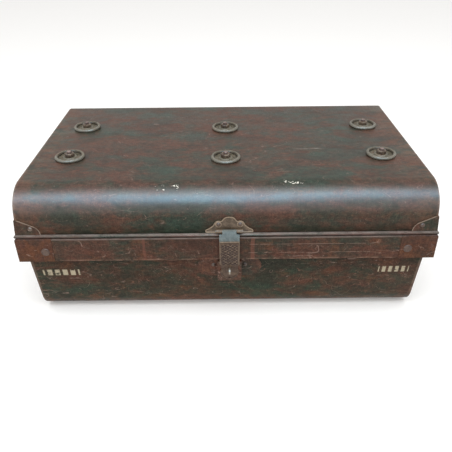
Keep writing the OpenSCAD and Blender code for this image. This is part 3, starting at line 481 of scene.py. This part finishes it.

# The rolled edge along the front and back, mitred to the end panels' rolled edges. Its crown is
# painted lighter grey as a painted highlight, where the sky's reflection falls.


def bead_crown_highlight(tree, colour, spot, x, y, z, fine):
    """A painted highlight: lighter grey along the upper crown, where the sky's reflection falls."""
    crown = times(tree, ramp(tree, z, bead_z - 0.5 * mm, bead_z + 2.6 * mm),
                 ramp(tree, fine, 0.34, 0.60, 0.35, 1.0))
    return tint(tree, times(tree, crown, 0.7), colour, (0.30, 0.27, 0.25))


bead_paint = worn_paint("bead_paint", red=0.60, rust=0.2, shift=(4, 4, 4), gloss=0.34, scratches=0.3,
                        dents=0.25, marks=bead_crown_highlight, shine=0.30)
for name, way in (("lid_rolled_edge_front", -1), ("lid_rolled_edge_back", 1)):
    mesh = bpy.data.meshes.new(name)
    work = bmesh.new()
    bmesh.ops.create_cone(work, segments=28, radius1=bead_radius, radius2=bead_radius,
                          depth=2 * bead_x + 30 * mm, cap_ends=True)
    bmesh.ops.rotate(work, verts=work.verts, matrix=Matrix.Rotation(math.pi / 2, 3, "Y"))
    bmesh.ops.translate(work, verts=work.verts, vec=(0, way * bead_y, bead_z))
    for end in (-1, 1):
        bmesh.ops.bisect_plane(work, geom=work.verts[:] + work.edges[:] + work.faces[:],
                               plane_co=(end * bead_x, way * bead_y, bead_z), plane_no=(end, -way, 0),
                               clear_outer=True)
        cut = [e for e in work.edges if len(e.link_faces) == 1]
        bmesh.ops.contextual_create(work, geom=cut)
    bmesh.ops.recalc_face_normals(work, faces=work.faces)
    work.to_mesh(mesh)
    work.free()
    for face in mesh.polygons:
        face.use_smooth = len(face.vertices) == 4
    rolled = bpy.data.objects.new(name, mesh)
    bpy.context.scene.collection.objects.link(rolled)
    wear(rolled, bead_paint)
    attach(rolled, "lid")

wire_steel = rubbed_metal("wire_steel", (0.36, 0.34, 0.31), (0.12, 0.07, 0.05), 0.40)
wear(nodes["lid_rim_wire"], wire_steel)

# ---------------------------------------------------------------------------------------------
# The lid's corner plates: thin pressings whose upper edge slopes down from the corner to a rivet and
# ends in a round. The edge has rubbed bare.


def plate_marks(tree, colour, spot, x, y, z, fine):
    """The bare upper edge, as a height over the rim against the distance from the corner."""
    out = calc(tree, "MAXIMUM", minus(tree, lid_half_length, size_of(tree, x)),
               minus(tree, lid_half_depth, size_of(tree, y)))
    up = minus(tree, z, bead_z + bead_radius)
    slope = minus(tree, minus(tree, 0.0315, times(tree, out, 0.435)), up)
    past_round = minus(tree, 0.0166, away(tree, out, up, (0.029, 0.001)))
    tip = plus(tree, past_round, ramp(tree, out, 0.031, 0.028))
    near = ramp(tree, calc(tree, "MINIMUM", slope, tip), 0.0022, 0.0010)
    near = times(tree, near, ramp(tree, fine, 0.30, 0.55, 0.35, 1.0))
    return tint(tree, times(tree, near, 0.8), colour, (0.26, 0.20, 0.155))


plate_paint = worn_paint("lid_corner_paint", red=0.62, rust=0.30, shift=(6, 1, 3), gloss=0.38, scratches=0.5,
                         dents=0.4, bright=(0.66, 0.56, 0.46), streak=(1.2, 1.2, 1), marks=plate_marks)
for corner in corner_names:
    wear(nodes["lid_corner_" + corner], plate_paint)
rivet_steel = rubbed_metal("rivet_steel", (0.13, 0.092, 0.066), (0.060, 0.034, 0.023), 0.40, metal=0.3)
for holder in ("lid_corner", "hinge_base", "hinge_lid", "handle", "staple_plate", "hasp_plate"):
    wear(nodes[holder + "_rivets"], rivet_steel)

# ---------------------------------------------------------------------------------------------
# The cup washers. Each is a pressed steel dish with a thick rolled rim and a raised hub, a little
# bruised by use. Its paint is olive in the dish and rubbed off the rim. The rim is paler on its front
# side as a painted highlight, and the crease inside the rim is darkened as painted shade.

washer_spots = {"front_left": (-304, -92), "front_middle": (0, -102), "front_right": (304, -92),
                "back_left": (-304, 65), "back_middle": (0, 55), "back_right": (304, 65)}


def turned(name, outline, spot, steps=72, bruise=0.0, phase=0.0):
    """A closed outline of (radius, height) in millimetres, spun round Z over the spot."""
    mesh = bpy.data.meshes.new(name)
    work = bmesh.new()
    ring = [work.verts.new((r * mm, 0, h * mm)) for r, h in outline]
    edges = [work.edges.new(pair) for pair in zip(ring, ring[1:] + ring[:1])]
    bmesh.ops.spin(work, geom=ring + edges, cent=(0, 0, 0), axis=(0, 0, 1), dvec=(0, 0, 0),
                   angle=2 * math.pi, steps=steps, use_merge=True)
    bmesh.ops.remove_doubles(work, verts=work.verts, dist=1e-7)
    bmesh.ops.recalc_face_normals(work, faces=work.faces)
    for v in work.verts:
        radius = math.hypot(v.co.x, v.co.y)
        turn = math.atan2(v.co.y, v.co.x) + phase
        dent = bruise * (1.0 + 0.5 * math.sin(3 * turn) + 0.5 * math.sin(5 * turn + 2 * phase))
        if radius > 1e-6:
            v.co.x *= 1 - dent * mm / radius
            v.co.y *= 1 - dent * mm / radius
        if radius > 0.020:
            v.co.z *= 1 - 0.06 * bruise * (1 + math.sin(2 * turn + phase))
        v.co += Vector((spot[0] * mm, spot[1] * mm, spot[2]))
    work.to_mesh(mesh)
    work.free()
    for face in mesh.polygons:
        face.use_smooth = True
    made = bpy.data.objects.new(name, mesh)
    bpy.context.scene.collection.objects.link(made)
    return made


def washer_finish(name, middle, shift):
    """Olive paint in the dish, bare pale steel on the crown of the rim and on the hub's edge. The bare rim
    is stronger on the front side as a painted highlight, and the crease inside the rim is painted shade.
    """
    finish, tree, skin = new_finish(name)
    spot, x, y, z = place(tree)
    radius = away(tree, x, y, (middle[0] * mm, middle[1] * mm))
    patches = mottle(tree, spot, 0.012, 7.0, 0.70, (1, 1, 1), (shift, 1, 2), 0.5)
    fine = mottle(tree, spot, 0.0016, 4.0, 0.75, (1, 1, 1), (shift, 3, 4))
    dish = tint(tree, ramp(tree, patches, 0.40, 0.60), (0.070, 0.060, 0.038), (0.135, 0.118, 0.084))
    dish = tint(tree, ramp(tree, patches, 0.56, 0.64, 0.0, 0.6), dish, (0.120, 0.060, 0.036))
    rim = ramp(tree, radius, 0.0232, 0.0252)
    hub = times(tree, ramp(tree, radius, 0.0142, 0.0128), ramp(tree, radius, 0.0105, 0.0118))
    bare = times(tree, calc(tree, "MAXIMUM", rim, times(tree, hub, 0.5)),
                ramp(tree, patches, 0.34, 0.58, 1.0, 0.35))
    # Painted highlight: the bare pale rim is made stronger towards the front side.
    near = ramp(tree, minus(tree, y, middle[1] * mm), 0.010, -0.020, 0.30, 1.0)
    bare = times(tree, bare, near)
    colour = tint(tree, bare, dish, (0.215, 0.215, 0.190))
    # Painted shade: a dark ring in the crease between the rolled rim and the dish.
    crease_shade = times(tree, ramp(tree, radius, 0.0243, 0.0228), ramp(tree, radius, 0.0205, 0.0222))
    colour = tint(tree, times(tree, crease_shade, 0.6), colour, (0.030, 0.022, 0.015))
    colour = speckled(tree, colour, fine, 0.25)
    tree.links.new(colour, skin.inputs["Base Color"])
    tree.links.new(times(tree, bare, 0.25), skin.inputs["Metallic"])
    skin.inputs["Specular IOR Level"].default_value = 0.35
    tree.links.new(ramp(tree, patches, 0.35, 0.65, 0.27, 0.44), skin.inputs["Roughness"])
    relief(tree, skin, [(patches, 0.0006), (fine, 0.00010)])
    return finish


rolled_rim = [(25.75 + 3.25 * math.cos(math.radians(a)), 3.25 + 3.25 * math.sin(math.radians(a)))
              for a in range(-90, 211, 15)]
hollow_and_hub = [(21.4, 1.5), (18.6, 1.2), (15.8, 1.35), (14.5, 1.9), (13.5, 3.1), (12.6, 3.8), (11.8, 4.0),
                  (4.6, 4.0)]
washer_outline = [(4.6, 0.0), (14.0, 0.0), (20.0, 0.0)] + rolled_rim + hollow_and_hub
for count, (where, (across, along)) in enumerate(washer_spots.items()):
    washer = turned("washer_" + where, washer_outline, (across, along, lid_top), bruise=0.35,
                    phase=1.7 * count)
    wear(washer, washer_finish("washer_steel_" + where, (across, along), 2.3 * count))
    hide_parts("cup_washer_" + where)
    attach(washer, "lid")

# The hexagon nuts on the hubs, their corners rounded off by the spanner.

nut_radius = 9.81 * mm           # across the corners, halved
nut_height = 6.5 * mm
hub_height = 4 * mm
mesh = bpy.data.meshes.new("hexagon_nuts")
work = bmesh.new()
for count, (across, along) in enumerate(washer_spots.values()):
    made = bmesh.ops.create_cone(work, segments=6, radius1=nut_radius, radius2=nut_radius, depth=nut_height,
                                 cap_ends=True)
    bmesh.ops.rotate(work, verts=made["verts"], matrix=Matrix.Rotation(0.5 + 1.3 * count, 3, "Z"))
    bmesh.ops.translate(work, verts=made["verts"],
                        vec=(across * mm, along * mm, lid_top + hub_height + nut_height / 2))
bmesh.ops.bevel(work, geom=[e for e in work.edges if abs(e.verts[0].co.z - e.verts[1].co.z) < 1e-5],
                offset=1.3 * mm, offset_type="OFFSET", affect="EDGES", segments=3, profile=0.5, material=-1)
work.to_mesh(mesh)
work.free()
nuts = bpy.data.objects.new("hexagon_nuts", mesh)
bpy.context.scene.collection.objects.link(nuts)
nut_steel = rubbed_metal("nut_steel", (0.20, 0.150, 0.105), (0.062, 0.040, 0.028), 0.42, metal=0.45,
                         grain=0.003)
wear(nuts, nut_steel)
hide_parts("washer_nuts")
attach(nuts, "lid")

# The bolts: a thread standing out of each nut, with a rounded tip, and a domed head under each strap.

thread = [(0.0, -7.85), (5.5, -7.6), (7.2, -6.8), (8.0, -5.4), (8.0, -3.95), (4.5, -3.92), (4.5, 10.0)]
pitch = 0.62
for turn in range(6):
    thread += [(4.45, 10.1 + pitch * turn), (4.0, 10.41 + pitch * turn)]
thread += [(4.4, 13.8), (3.6, 14.3), (1.8, 14.47), (0.0, 14.5)]
bolts = [turned("bolt_" + where, thread, (across, along, lid_top), 40)
         for where, (across, along) in washer_spots.items()]
work = bmesh.new()
for one in bolts:
    work.from_mesh(one.data)
    bpy.data.objects.remove(one)
mesh = bpy.data.meshes.new("lid_bolts")
work.to_mesh(mesh)
work.free()
bolts = bpy.data.objects.new("lid_bolts", mesh)
bpy.context.scene.collection.objects.link(bolts)
bolt_steel = rubbed_metal("bolt_steel", (0.30, 0.225, 0.200), (0.095, 0.058, 0.050), 0.34, metal=0.5,
                          shift=3.0)
wear(bolts, bolt_steel)
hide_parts("washer_bolts")
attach(bolts, "lid")
strap_primer = worn_paint("inner_strap_paint", red=0.9, rust=0.5, shift=(1, 9, 3), gloss=0.5, scratches=0.3)
for side in ("left", "middle", "right"):
    wear(nodes["lid_strap_" + side], strap_primer)

# ---------------------------------------------------------------------------------------------
# The hasp's hinge plate: a lobed pressing with a raised rim, on the lid's front wall. Two knuckles stand
# forward of its lower edge on short webs, and two rivets hold it through round bosses.

hasp_x = 5 * mm
hasp_axis = Vector((hasp_x, -243.504 * mm, 204.5 * mm))
hasp_bend = Vector((hasp_x, -257.504 * mm, 190 * mm))
hasp_lean = math.radians(10.3909)
hasp_foot = 199.5 * mm
hasp_half_width = 18 * mm
knuckle_radius = 3.5 * mm
ear_x = 18.4 * mm                # the plate's two knuckles, from the middle of the hasp
ear_half = 5.5 * mm


def prism(work, outline, depth, rim, sunk):
    """A flat outline of (x, y) in metres as a solid from z = 0 to depth, with a rim round a sunk field."""
    floor_face = work.faces.new([work.verts.new((x, y, 0)) for x, y in outline])
    grown = bmesh.ops.extrude_face_region(work, geom=[floor_face])
    bmesh.ops.translate(work, verts=[g for g in grown["geom"] if isinstance(g, bmesh.types.BMVert)],
                        vec=(0, 0, depth))
    top = [g for g in grown["geom"] if isinstance(g, bmesh.types.BMFace)]
    bmesh.ops.inset_region(work, faces=top, thickness=rim)
    bmesh.ops.inset_region(work, faces=top, thickness=rim * 0.45, depth=-sunk)


def drawn(work, outline, middle, half):
    """A closed outline of (y, z) in metres, drawn out along X from middle - half to middle + half."""
    near = [work.verts.new((middle - half, y, z)) for y, z in outline]
    face = work.faces.new(near)
    grown = bmesh.ops.extrude_face_region(work, geom=[face])
    bmesh.ops.translate(work, verts=[g for g in grown["geom"] if isinstance(g, bmesh.types.BMVert)],
                        vec=(2 * half, 0, 0))


def curl(centre, radius, bore, start, stop, steps=22):
    """Section of a rolled knuckle: the outer arc from start to stop degrees, then the bore back."""
    angles = [math.radians(start + (stop - start) * i / steps) for i in range(steps + 1)]
    return ([(centre.y + radius * math.cos(a), centre.z + radius * math.sin(a)) for a in angles]
            + [(centre.y + bore * math.cos(a), centre.z + bore * math.sin(a)) for a in reversed(angles)])


def shaped(name, work, angle=35):
    """A finished object from a bmesh, smooth except where faces meet at more than angle degrees."""
    bmesh.ops.recalc_face_normals(work, faces=work.faces)
    mesh = bpy.data.meshes.new(name)
    for face in work.faces:
        face.smooth = True
    for e in work.edges:
        if len(e.link_faces) == 2 and e.calc_face_angle(0.0) > math.radians(angle):
            e.smooth = False
    work.to_mesh(mesh)
    work.free()
    made = bpy.data.objects.new(name, mesh)
    bpy.context.scene.collection.objects.link(made)
    return made


half_plate = [(42.0, 0.0), (43.0, 1.4), (43.2, 3.4), (42.4, 5.4), (40.0, 7.0), (36.5, 8.6),
              (32.0, 11.8), (28.8, 14.6), (27.2, 18.0), (25.0, 21.2), (21.8, 23.2), (18.0, 23.4),
              (15.2, 22.6), (13.2, 23.4), (11.4, 26.0), (8.8, 28.9), (5.2, 30.6), (0.0, 31.0)]
plate_outline = ([(x * mm, y * mm) for x, y in half_plate]
                 + [(-x * mm, y * mm) for x, y in reversed(half_plate[:-1])])
work = bmesh.new()
prism(work, plate_outline, 1.2 * mm, rim=1.5 * mm, sunk=0.55 * mm)
foot_y = -(lid_half_depth - (hasp_foot - rim_z) * math.tan(lid_wall_lean))
lie = Matrix.Translation((hasp_x, foot_y, hasp_foot)) @ Matrix.Rotation(math.pi / 2 - lid_wall_lean, 4, "X")
bmesh.ops.transform(work, matrix=lie, verts=work.verts)
wall_y = foot_y + 2.2 * mm
web_y = hasp_axis.y + 3.3 * mm
web = [(wall_y, 203.4 * mm), (wall_y, 205.0 * mm), (web_y, 205.3 * mm), (web_y, 203.7 * mm)]
for side in (-1, 1):
    ear = hasp_x + side * ear_x
    drawn(work, curl(hasp_axis, knuckle_radius, 1.92 * mm, 10, 350), ear, ear_half)
    drawn(work, web, ear, ear_half)
    boss_at = lie @ Vector((side * 19.4 * mm, 16 * mm, 0.6 * mm))
    boss = bmesh.ops.create_cone(work, segments=32, radius1=6.6 * mm, radius2=5.4 * mm, depth=1.1 * mm,
                                 cap_ends=True)
    bmesh.ops.transform(work, matrix=Matrix.Translation(boss_at) @ lie.to_3x3().to_4x4(), verts=boss["verts"])
hinge_plate = shaped("hasp_hinge_plate", work)


def hasp_plate_finish():
    """Thin olive-brown paint, rubbed to pale brass-coloured steel along the raised rim."""
    finish, tree, skin = new_finish("hasp_plate_steel")
    spot, x, y, z = place(tree)
    patches = mottle(tree, spot, 0.010, 7.0, 0.70, (1, 1, 1), (1, 1, 2), 0.5)
    fine = mottle(tree, spot, 0.0012, 4.0, 0.75, (1, 1, 1), (5, 3, 4))
    wall = plus(tree, times(tree, y, -math.cos(lid_wall_lean)),
                times(tree, minus(tree, z, hasp_foot), math.sin(lid_wall_lean)))
    proud = minus(tree, wall, -foot_y * math.cos(lid_wall_lean))
    edge = ramp(tree, plus(tree, proud, times(tree, patches, 0.0006)), 0.00110, 0.00140)
    edge = times(tree, edge, ramp(tree, proud, 0.0022, 0.0034, 1.0, 0.35))
    colour = tint(tree, ramp(tree, patches, 0.38, 0.60), (0.062, 0.043, 0.028), (0.120, 0.086, 0.058))
    colour = tint(tree, times(tree, edge, 0.85), colour, (0.27, 0.205, 0.145))
    colour = speckled(tree, colour, fine, 0.22)
    tree.links.new(colour, skin.inputs["Base Color"])
    tree.links.new(times(tree, edge, 0.25), skin.inputs["Metallic"])
    skin.inputs["Specular IOR Level"].default_value = 0.25
    tree.links.new(ramp(tree, patches, 0.35, 0.65, 0.30, 0.45), skin.inputs["Roughness"])
    relief(tree, skin, [(patches, 0.0003), (fine, 0.00010)])
    return finish


wear(hinge_plate, hasp_plate_finish())
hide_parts("hasp_plate")
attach(hinge_plate, "lid")

# The hasp's strap: its middle knuckle, a smooth slope rubbed bright, a rounded bend, and a leaf with a
# knurled field between plain borders, which ends in a round medallion over the staple's slot.

down = Vector((0, math.sin(hasp_lean), -math.cos(hasp_lean)))
out = Vector((0, -math.cos(hasp_lean), -math.sin(hasp_lean)))
across = Vector((1, 0, 0))
gauge = 1.6 * mm
slope_offset = 3.35 * mm         # from the pin's axis to the slope's face
rise = hasp_axis.z - hasp_bend.z
reach = hasp_axis.y - hasp_bend.y
slope = math.atan2(rise, reach) + math.asin(slope_offset / math.hypot(rise, reach))
slope_out = Vector((0, -math.sin(slope), math.cos(slope)))
tangent = hasp_axis + slope_offset * slope_out
along = (hasp_bend - tangent).normalized()
leaf_half = hasp_half_width / mm
medallion_down = 78.8            # the medallion's middle, down the leaf from the bend, in millimetres
medallion_radius = 17.2


def loop_points(radius, centre_down, steps, half=0.0):
    """Points (across, down) of a circle, or of a slot whose ends' middles are 2 half apart."""
    rows = []
    for i in range(steps):
        a = math.radians(360 * i / steps)
        end = half if math.sin(a) > 0 else -half
        rows.append((radius * math.cos(a), centre_down + radius * math.sin(a) + end))
    return rows


def closed_loop(work, row):
    """Edges round a closed row of vertices."""
    return [work.edges.new(pair) for pair in zip(row, row[1:] + row[:1])]


def on_leaf(x, v, proud=0.0):
    """The place x across and v down the leaf, in millimetres, standing out of its face by proud."""
    return hasp_bend + across * x * mm + down * v * mm + out * proud * mm


work = bmesh.new()
shoulder = [(15.4 + 2.6 * (1 - i / 4) ** 2, 57 + 7.5 * i / 4) for i in range(1, 4)]
tip = [(medallion_radius * math.cos(math.radians(a)),
        medallion_down + medallion_radius * math.sin(math.radians(a))) for a in range(-30, 90, 8)]
right = [(leaf_half, 1.5), (leaf_half, 57)] + shoulder + [(15.2, 65.0), (14.9, 69.0)] + tip
rim_points = right + [(-x, v) for x, v in reversed(right)]
staple_slot = loop_points(2.5, 71, 20, half=5.0)
tip_hole = loop_points(1.8, 92.8, 16)
edges = []
for points in (rim_points, staple_slot, tip_hole):
    edges += closed_loop(work, [work.verts.new((x * mm, v * mm, 0)) for x, v in points])
filled = bmesh.ops.triangle_fill(work, edges=edges, use_beauty=True)
flat = [g for g in filled["geom"] if isinstance(g, bmesh.types.BMFace)]
grown = bmesh.ops.extrude_face_region(work, geom=flat)
for v in [g for g in grown["geom"] if isinstance(g, bmesh.types.BMVert)]:
    v.co.z = -gauge
for v in work.verts:
    v.co = hasp_bend + across * v.co.x + down * v.co.y + out * v.co.z
wide = loop_points(16.0, medallion_down, 56)
narrow = loop_points(14.4, medallion_down, 56)
for low_ring, high_ring, low_out, high_out in ((wide, wide, 0.0, 0.45), (wide, narrow, 0.45, 0.75),
                                               (narrow, narrow, 0.75, 0.30)):
    first = [work.verts.new(on_leaf(x, v, low_out)) for x, v in low_ring]
    second = [work.verts.new(on_leaf(x, v, high_out)) for x, v in high_ring]
    bmesh.ops.bridge_loops(work, edges=closed_loop(work, first) + closed_loop(work, second))
corner = hasp_bend - gauge / (1 + slope_out.dot(out)) * (slope_out + out)
blunt = 1.6 * mm                 # how far the bend's rounding reaches along its two faces
round_bend = [hasp_bend - blunt * along,
              hasp_bend - 0.55 * blunt * along - 0.10 * blunt * out,
              hasp_bend - 0.22 * blunt * (slope_out + out) * 0.9,
              hasp_bend + 0.55 * blunt * down - 0.10 * blunt * slope_out,
              hasp_bend + blunt * down]
leg = [hasp_bend + 3 * mm * down, hasp_bend + 3 * mm * down - gauge * out, corner]
begin = tangent + 6.0 * mm * along
slope_section = [begin] + round_bend + leg + [begin - gauge * slope_out]
drawn(work, [(p.y, p.z) for p in slope_section], hasp_x, hasp_half_width)
neck_half = 12.5 * mm
neck_start = tangent - 0.5 * mm * along
neck_stop = begin + 0.5 * mm * along
neck_section = (neck_start, neck_stop, neck_stop - gauge * slope_out, neck_start - gauge * slope_out)
drawn(work, [(p.y, p.z) for p in neck_section], hasp_x, neck_half)
drawn(work, curl(hasp_axis, knuckle_radius, 1.98 * mm, -80, 265), hasp_x, neck_half)
strap = shaped("hasp_knurled_strap", work, 30)


def strap_finish():
    """Brown thin paint, a pale rubbed slope, a knurled field darkened as painted shade in its recesses,
    diamond ridges rubbed bright and lightened further as painted highlights, and a bright border.
    """
    finish, tree, skin = new_finish("hasp_strap_steel")
    spot, x, y, z = place(tree)
    patches = mottle(tree, spot, 0.012, 7.0, 0.70, (1, 1, 1), (3, 1, 2), 0.5)
    fine = mottle(tree, spot, 0.0012, 4.0, 0.75, (1, 1, 1), (5, 3, 9))
    side = size_of(tree, minus(tree, x, hasp_x))
    drop = minus(tree, hasp_bend.z, z)
    colour = tint(tree, ramp(tree, patches, 0.38, 0.62), (0.060, 0.036, 0.025), (0.105, 0.068, 0.044))
    wavy = plus(tree, minus(tree, x, hasp_x), times(tree, patches, 0.006))
    ridges = []
    for way in (-1, 1):
        lane = plus(tree, times(tree, wavy, 0.62 * way), times(tree, z, 0.78))
        ridges.append(ramp(tree, calc(tree, "PINGPONG", lane, 0.0026), 0.0018, 0.0025))
    field = times(tree, ramp(tree, side, 0.0150, 0.0142),
                 times(tree, ramp(tree, drop, 0.0055, 0.0065), ramp(tree, drop, 0.0600, 0.0560)))
    knurl = times(tree, calc(tree, "MAXIMUM", ridges[0], ridges[1]), field)
    touched = mottle(tree, spot, 0.005, 5.0, 0.7, (1, 1, 1), (7, 3, 1))
    rubbed = times(tree, knurl, ramp(tree, touched, 0.44, 0.60, 0.15, 1.0))
    # Painted shade: the whole knurled field is darkened to stand in for the shade in the knurl's recesses.
    colour = tint(tree, times(tree, field, 0.85), colour, (0.030, 0.016, 0.013))
    # The ridges are rubbed bright, and their lighter colour is also a painted highlight glinting off them.
    colour = tint(tree, times(tree, rubbed, 0.9), colour, (0.27, 0.190, 0.125))
    border = times(tree, ramp(tree, side, 0.0166, 0.0174), ramp(tree, drop, 0.064, 0.058))
    bend_line = times(tree, ramp(tree, drop, 0.0026, 0.0008), ramp(tree, drop, -0.0012, 0.0))
    bright = times(tree, calc(tree, "MAXIMUM", border, bend_line),
                  ramp(tree, patches, 0.30, 0.56, 0.4, 1.0))
    colour = tint(tree, times(tree, bright, 0.75), colour, (0.24, 0.185, 0.135))
    upper = ramp(tree, drop, 0.0, -0.0015)
    pale = tint(tree, ramp(tree, patches, 0.38, 0.62), (0.060, 0.066, 0.060), (0.110, 0.120, 0.108))
    colour = tint(tree, times(tree, upper, 0.9), colour, pale)
    colour = speckled(tree, colour, fine, 0.18)
    tree.links.new(colour, skin.inputs["Base Color"])
    metal = calc(tree, "MAXIMUM", times(tree, calc(tree, "MAXIMUM", rubbed, bright), 0.35),
                 times(tree, upper, 0.12))
    tree.links.new(metal, skin.inputs["Metallic"])
    skin.inputs["Specular IOR Level"].default_value = 0.18
    tree.links.new(ramp(tree, patches, 0.35, 0.65, 0.30, 0.44), skin.inputs["Roughness"])
    relief(tree, skin, [(knurl, 0.0006), (patches, 0.0003), (fine, 0.00008)])
    return finish


wear(strap, strap_finish())
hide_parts("hasp_strap")
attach(strap, "hasp")
pin_steel = rubbed_metal("pin_steel", (0.36, 0.33, 0.29), (0.13, 0.09, 0.07), 0.36)
for name in ("hasp_pin", "hinge_pin_left", "hinge_pin_right"):
    wear(nodes[name], pin_steel)

# ---------------------------------------------------------------------------------------------
# The staple plate: a lobed flange with a raised box, riveted to the band and the base's front wall.
# The padlock staple stands out of it through the strap's slot, bare and tarnished.

staple_plate_paint = worn_paint("staple_plate_paint", red=0.64, rust=0.30, shift=(2, 2, 2), gloss=0.38,
                                scratches=0.7, dents=0.5, bright=(0.86, 0.70, 0.55), streak=(1, 1, 1))
wear(nodes["staple_plate"], staple_plate_paint)
staple_steel = rubbed_metal("staple_steel", (0.34, 0.31, 0.26), (0.15, 0.12, 0.09), 0.42, metal=0.6)
wear(nodes["padlock_staple"], staple_steel)

# ---------------------------------------------------------------------------------------------
# The back hinges' leaves, and the drop handles on the ends with their eye plates. The plates have
# the band's worn paint, and hands have rubbed the handles to steel.

hinge_paint = worn_paint("hinge_paint", red=0.72, rust=0.4, shift=(5, 5, 1), gloss=0.40, scratches=0.4,
                         dents=0.4, streak=(1, 1, 1))
handle_steel = rubbed_metal("handle_steel", (0.28, 0.23, 0.19), (0.075, 0.048, 0.034), 0.36, grain=0.007)
for side in ("left", "right"):
    for name in ("hinge_base_leaf_", "hinge_lid_leaf_", "handle_plate_"):
        wear(nodes[name + side], hinge_paint)
    wear(nodes["handle_" + side], handle_steel)

# ---------------------------------------------------------------------------------------------
# A pale floor, a soft light from above with warm fill, three sky-blue lights that show only as a sheen
# on the front shoulder, and the camera.

bpy.ops.mesh.primitive_plane_add(size=14, location=(0, 0, -0.0005))
floor = bpy.context.object
floor.name = "studio_floor"
floor_finish, floor_tree, floor_skin = new_finish("studio_floor")
floor_skin.inputs["Base Color"].default_value = (0.86, 0.86, 0.855, 1)
floor_skin.inputs["Roughness"].default_value = 0.9
floor_skin.inputs["Emission Color"].default_value = (1, 1, 1, 1)
floor_skin.inputs["Emission Strength"].default_value = 0.17
floor.data.materials.append(floor_finish)

world = bpy.data.worlds.new("studio")
bpy.context.scene.world = world
world.use_nodes = True
world.node_tree.nodes["Background"].inputs["Color"].default_value = (1.0, 0.985, 0.965, 1)
world.node_tree.nodes["Background"].inputs["Strength"].default_value = 0.78


def soft_light(name, spot, aim, size, power, colour, broad=True):
    """An area light aimed at a point. One that is not broad shows only as a sheen."""
    lamp = bpy.data.lights.new(name, "AREA")
    lamp.shape = "RECTANGLE"
    lamp.size, lamp.size_y = size
    lamp.energy = power
    lamp.color = colour
    holder = bpy.data.objects.new(name, lamp)
    holder.location = spot
    holder.rotation_euler = (Vector(aim) - Vector(spot)).to_track_quat("-Z", "Y").to_euler()
    holder.visible_diffuse = broad
    bpy.context.scene.collection.objects.link(holder)


soft_light("key", (0, -0.9, 2.6), (0, -0.05, 0.2), (3.0, 1.6), 52, (0.95, 0.98, 1.0))
soft_light("left_fill", (-2.4, -1.5, 1.6), (0, 0, 0.15), (1.4, 1.4), 12, (1.0, 0.90, 0.80))
soft_light("right_fill", (2.6, -1.2, 1.5), (0, 0, 0.15), (1.4, 1.4), 10, (1.0, 0.90, 0.80))
soft_light("sky_left", (-1.25, -1.62, 2.00), (-0.40, -0.22, 0.27), (1.4, 1.4), 34, (0.40, 0.72, 1.0), False)
soft_light("sky_middle", (0.0, -1.92, 1.76), (0.0, -0.22, 0.27), (1.3, 1.2), 42, (0.44, 0.74, 1.0), False)
soft_light("sky_right", (1.25, -1.50, 2.08), (0.40, -0.22, 0.27), (1.4, 1.3), 35, (0.42, 0.73, 1.0), False)

camera_spot = (-3.7 * mm, -1030.7 * mm, 705.5 * mm)
camera_heading = math.radians(-0.2)
camera_dip = math.radians(31.9)
camera_roll = math.radians(-0.5)
eye = bpy.data.cameras.new("camera")
eye.sensor_width = 36
eye.lens = 41.543
camera = bpy.data.objects.new("camera", eye)
camera.matrix_world = (Matrix.Translation(camera_spot) @ Matrix.Rotation(camera_heading, 4, "Z")
                       @ Matrix.Rotation(math.pi / 2 - camera_dip, 4, "X")
                       @ Matrix.Rotation(camera_roll, 4, "Z"))
bpy.context.scene.collection.objects.link(camera)
bpy.context.scene.camera = camera
bpy.context.scene.view_settings.view_transform = "Standard"
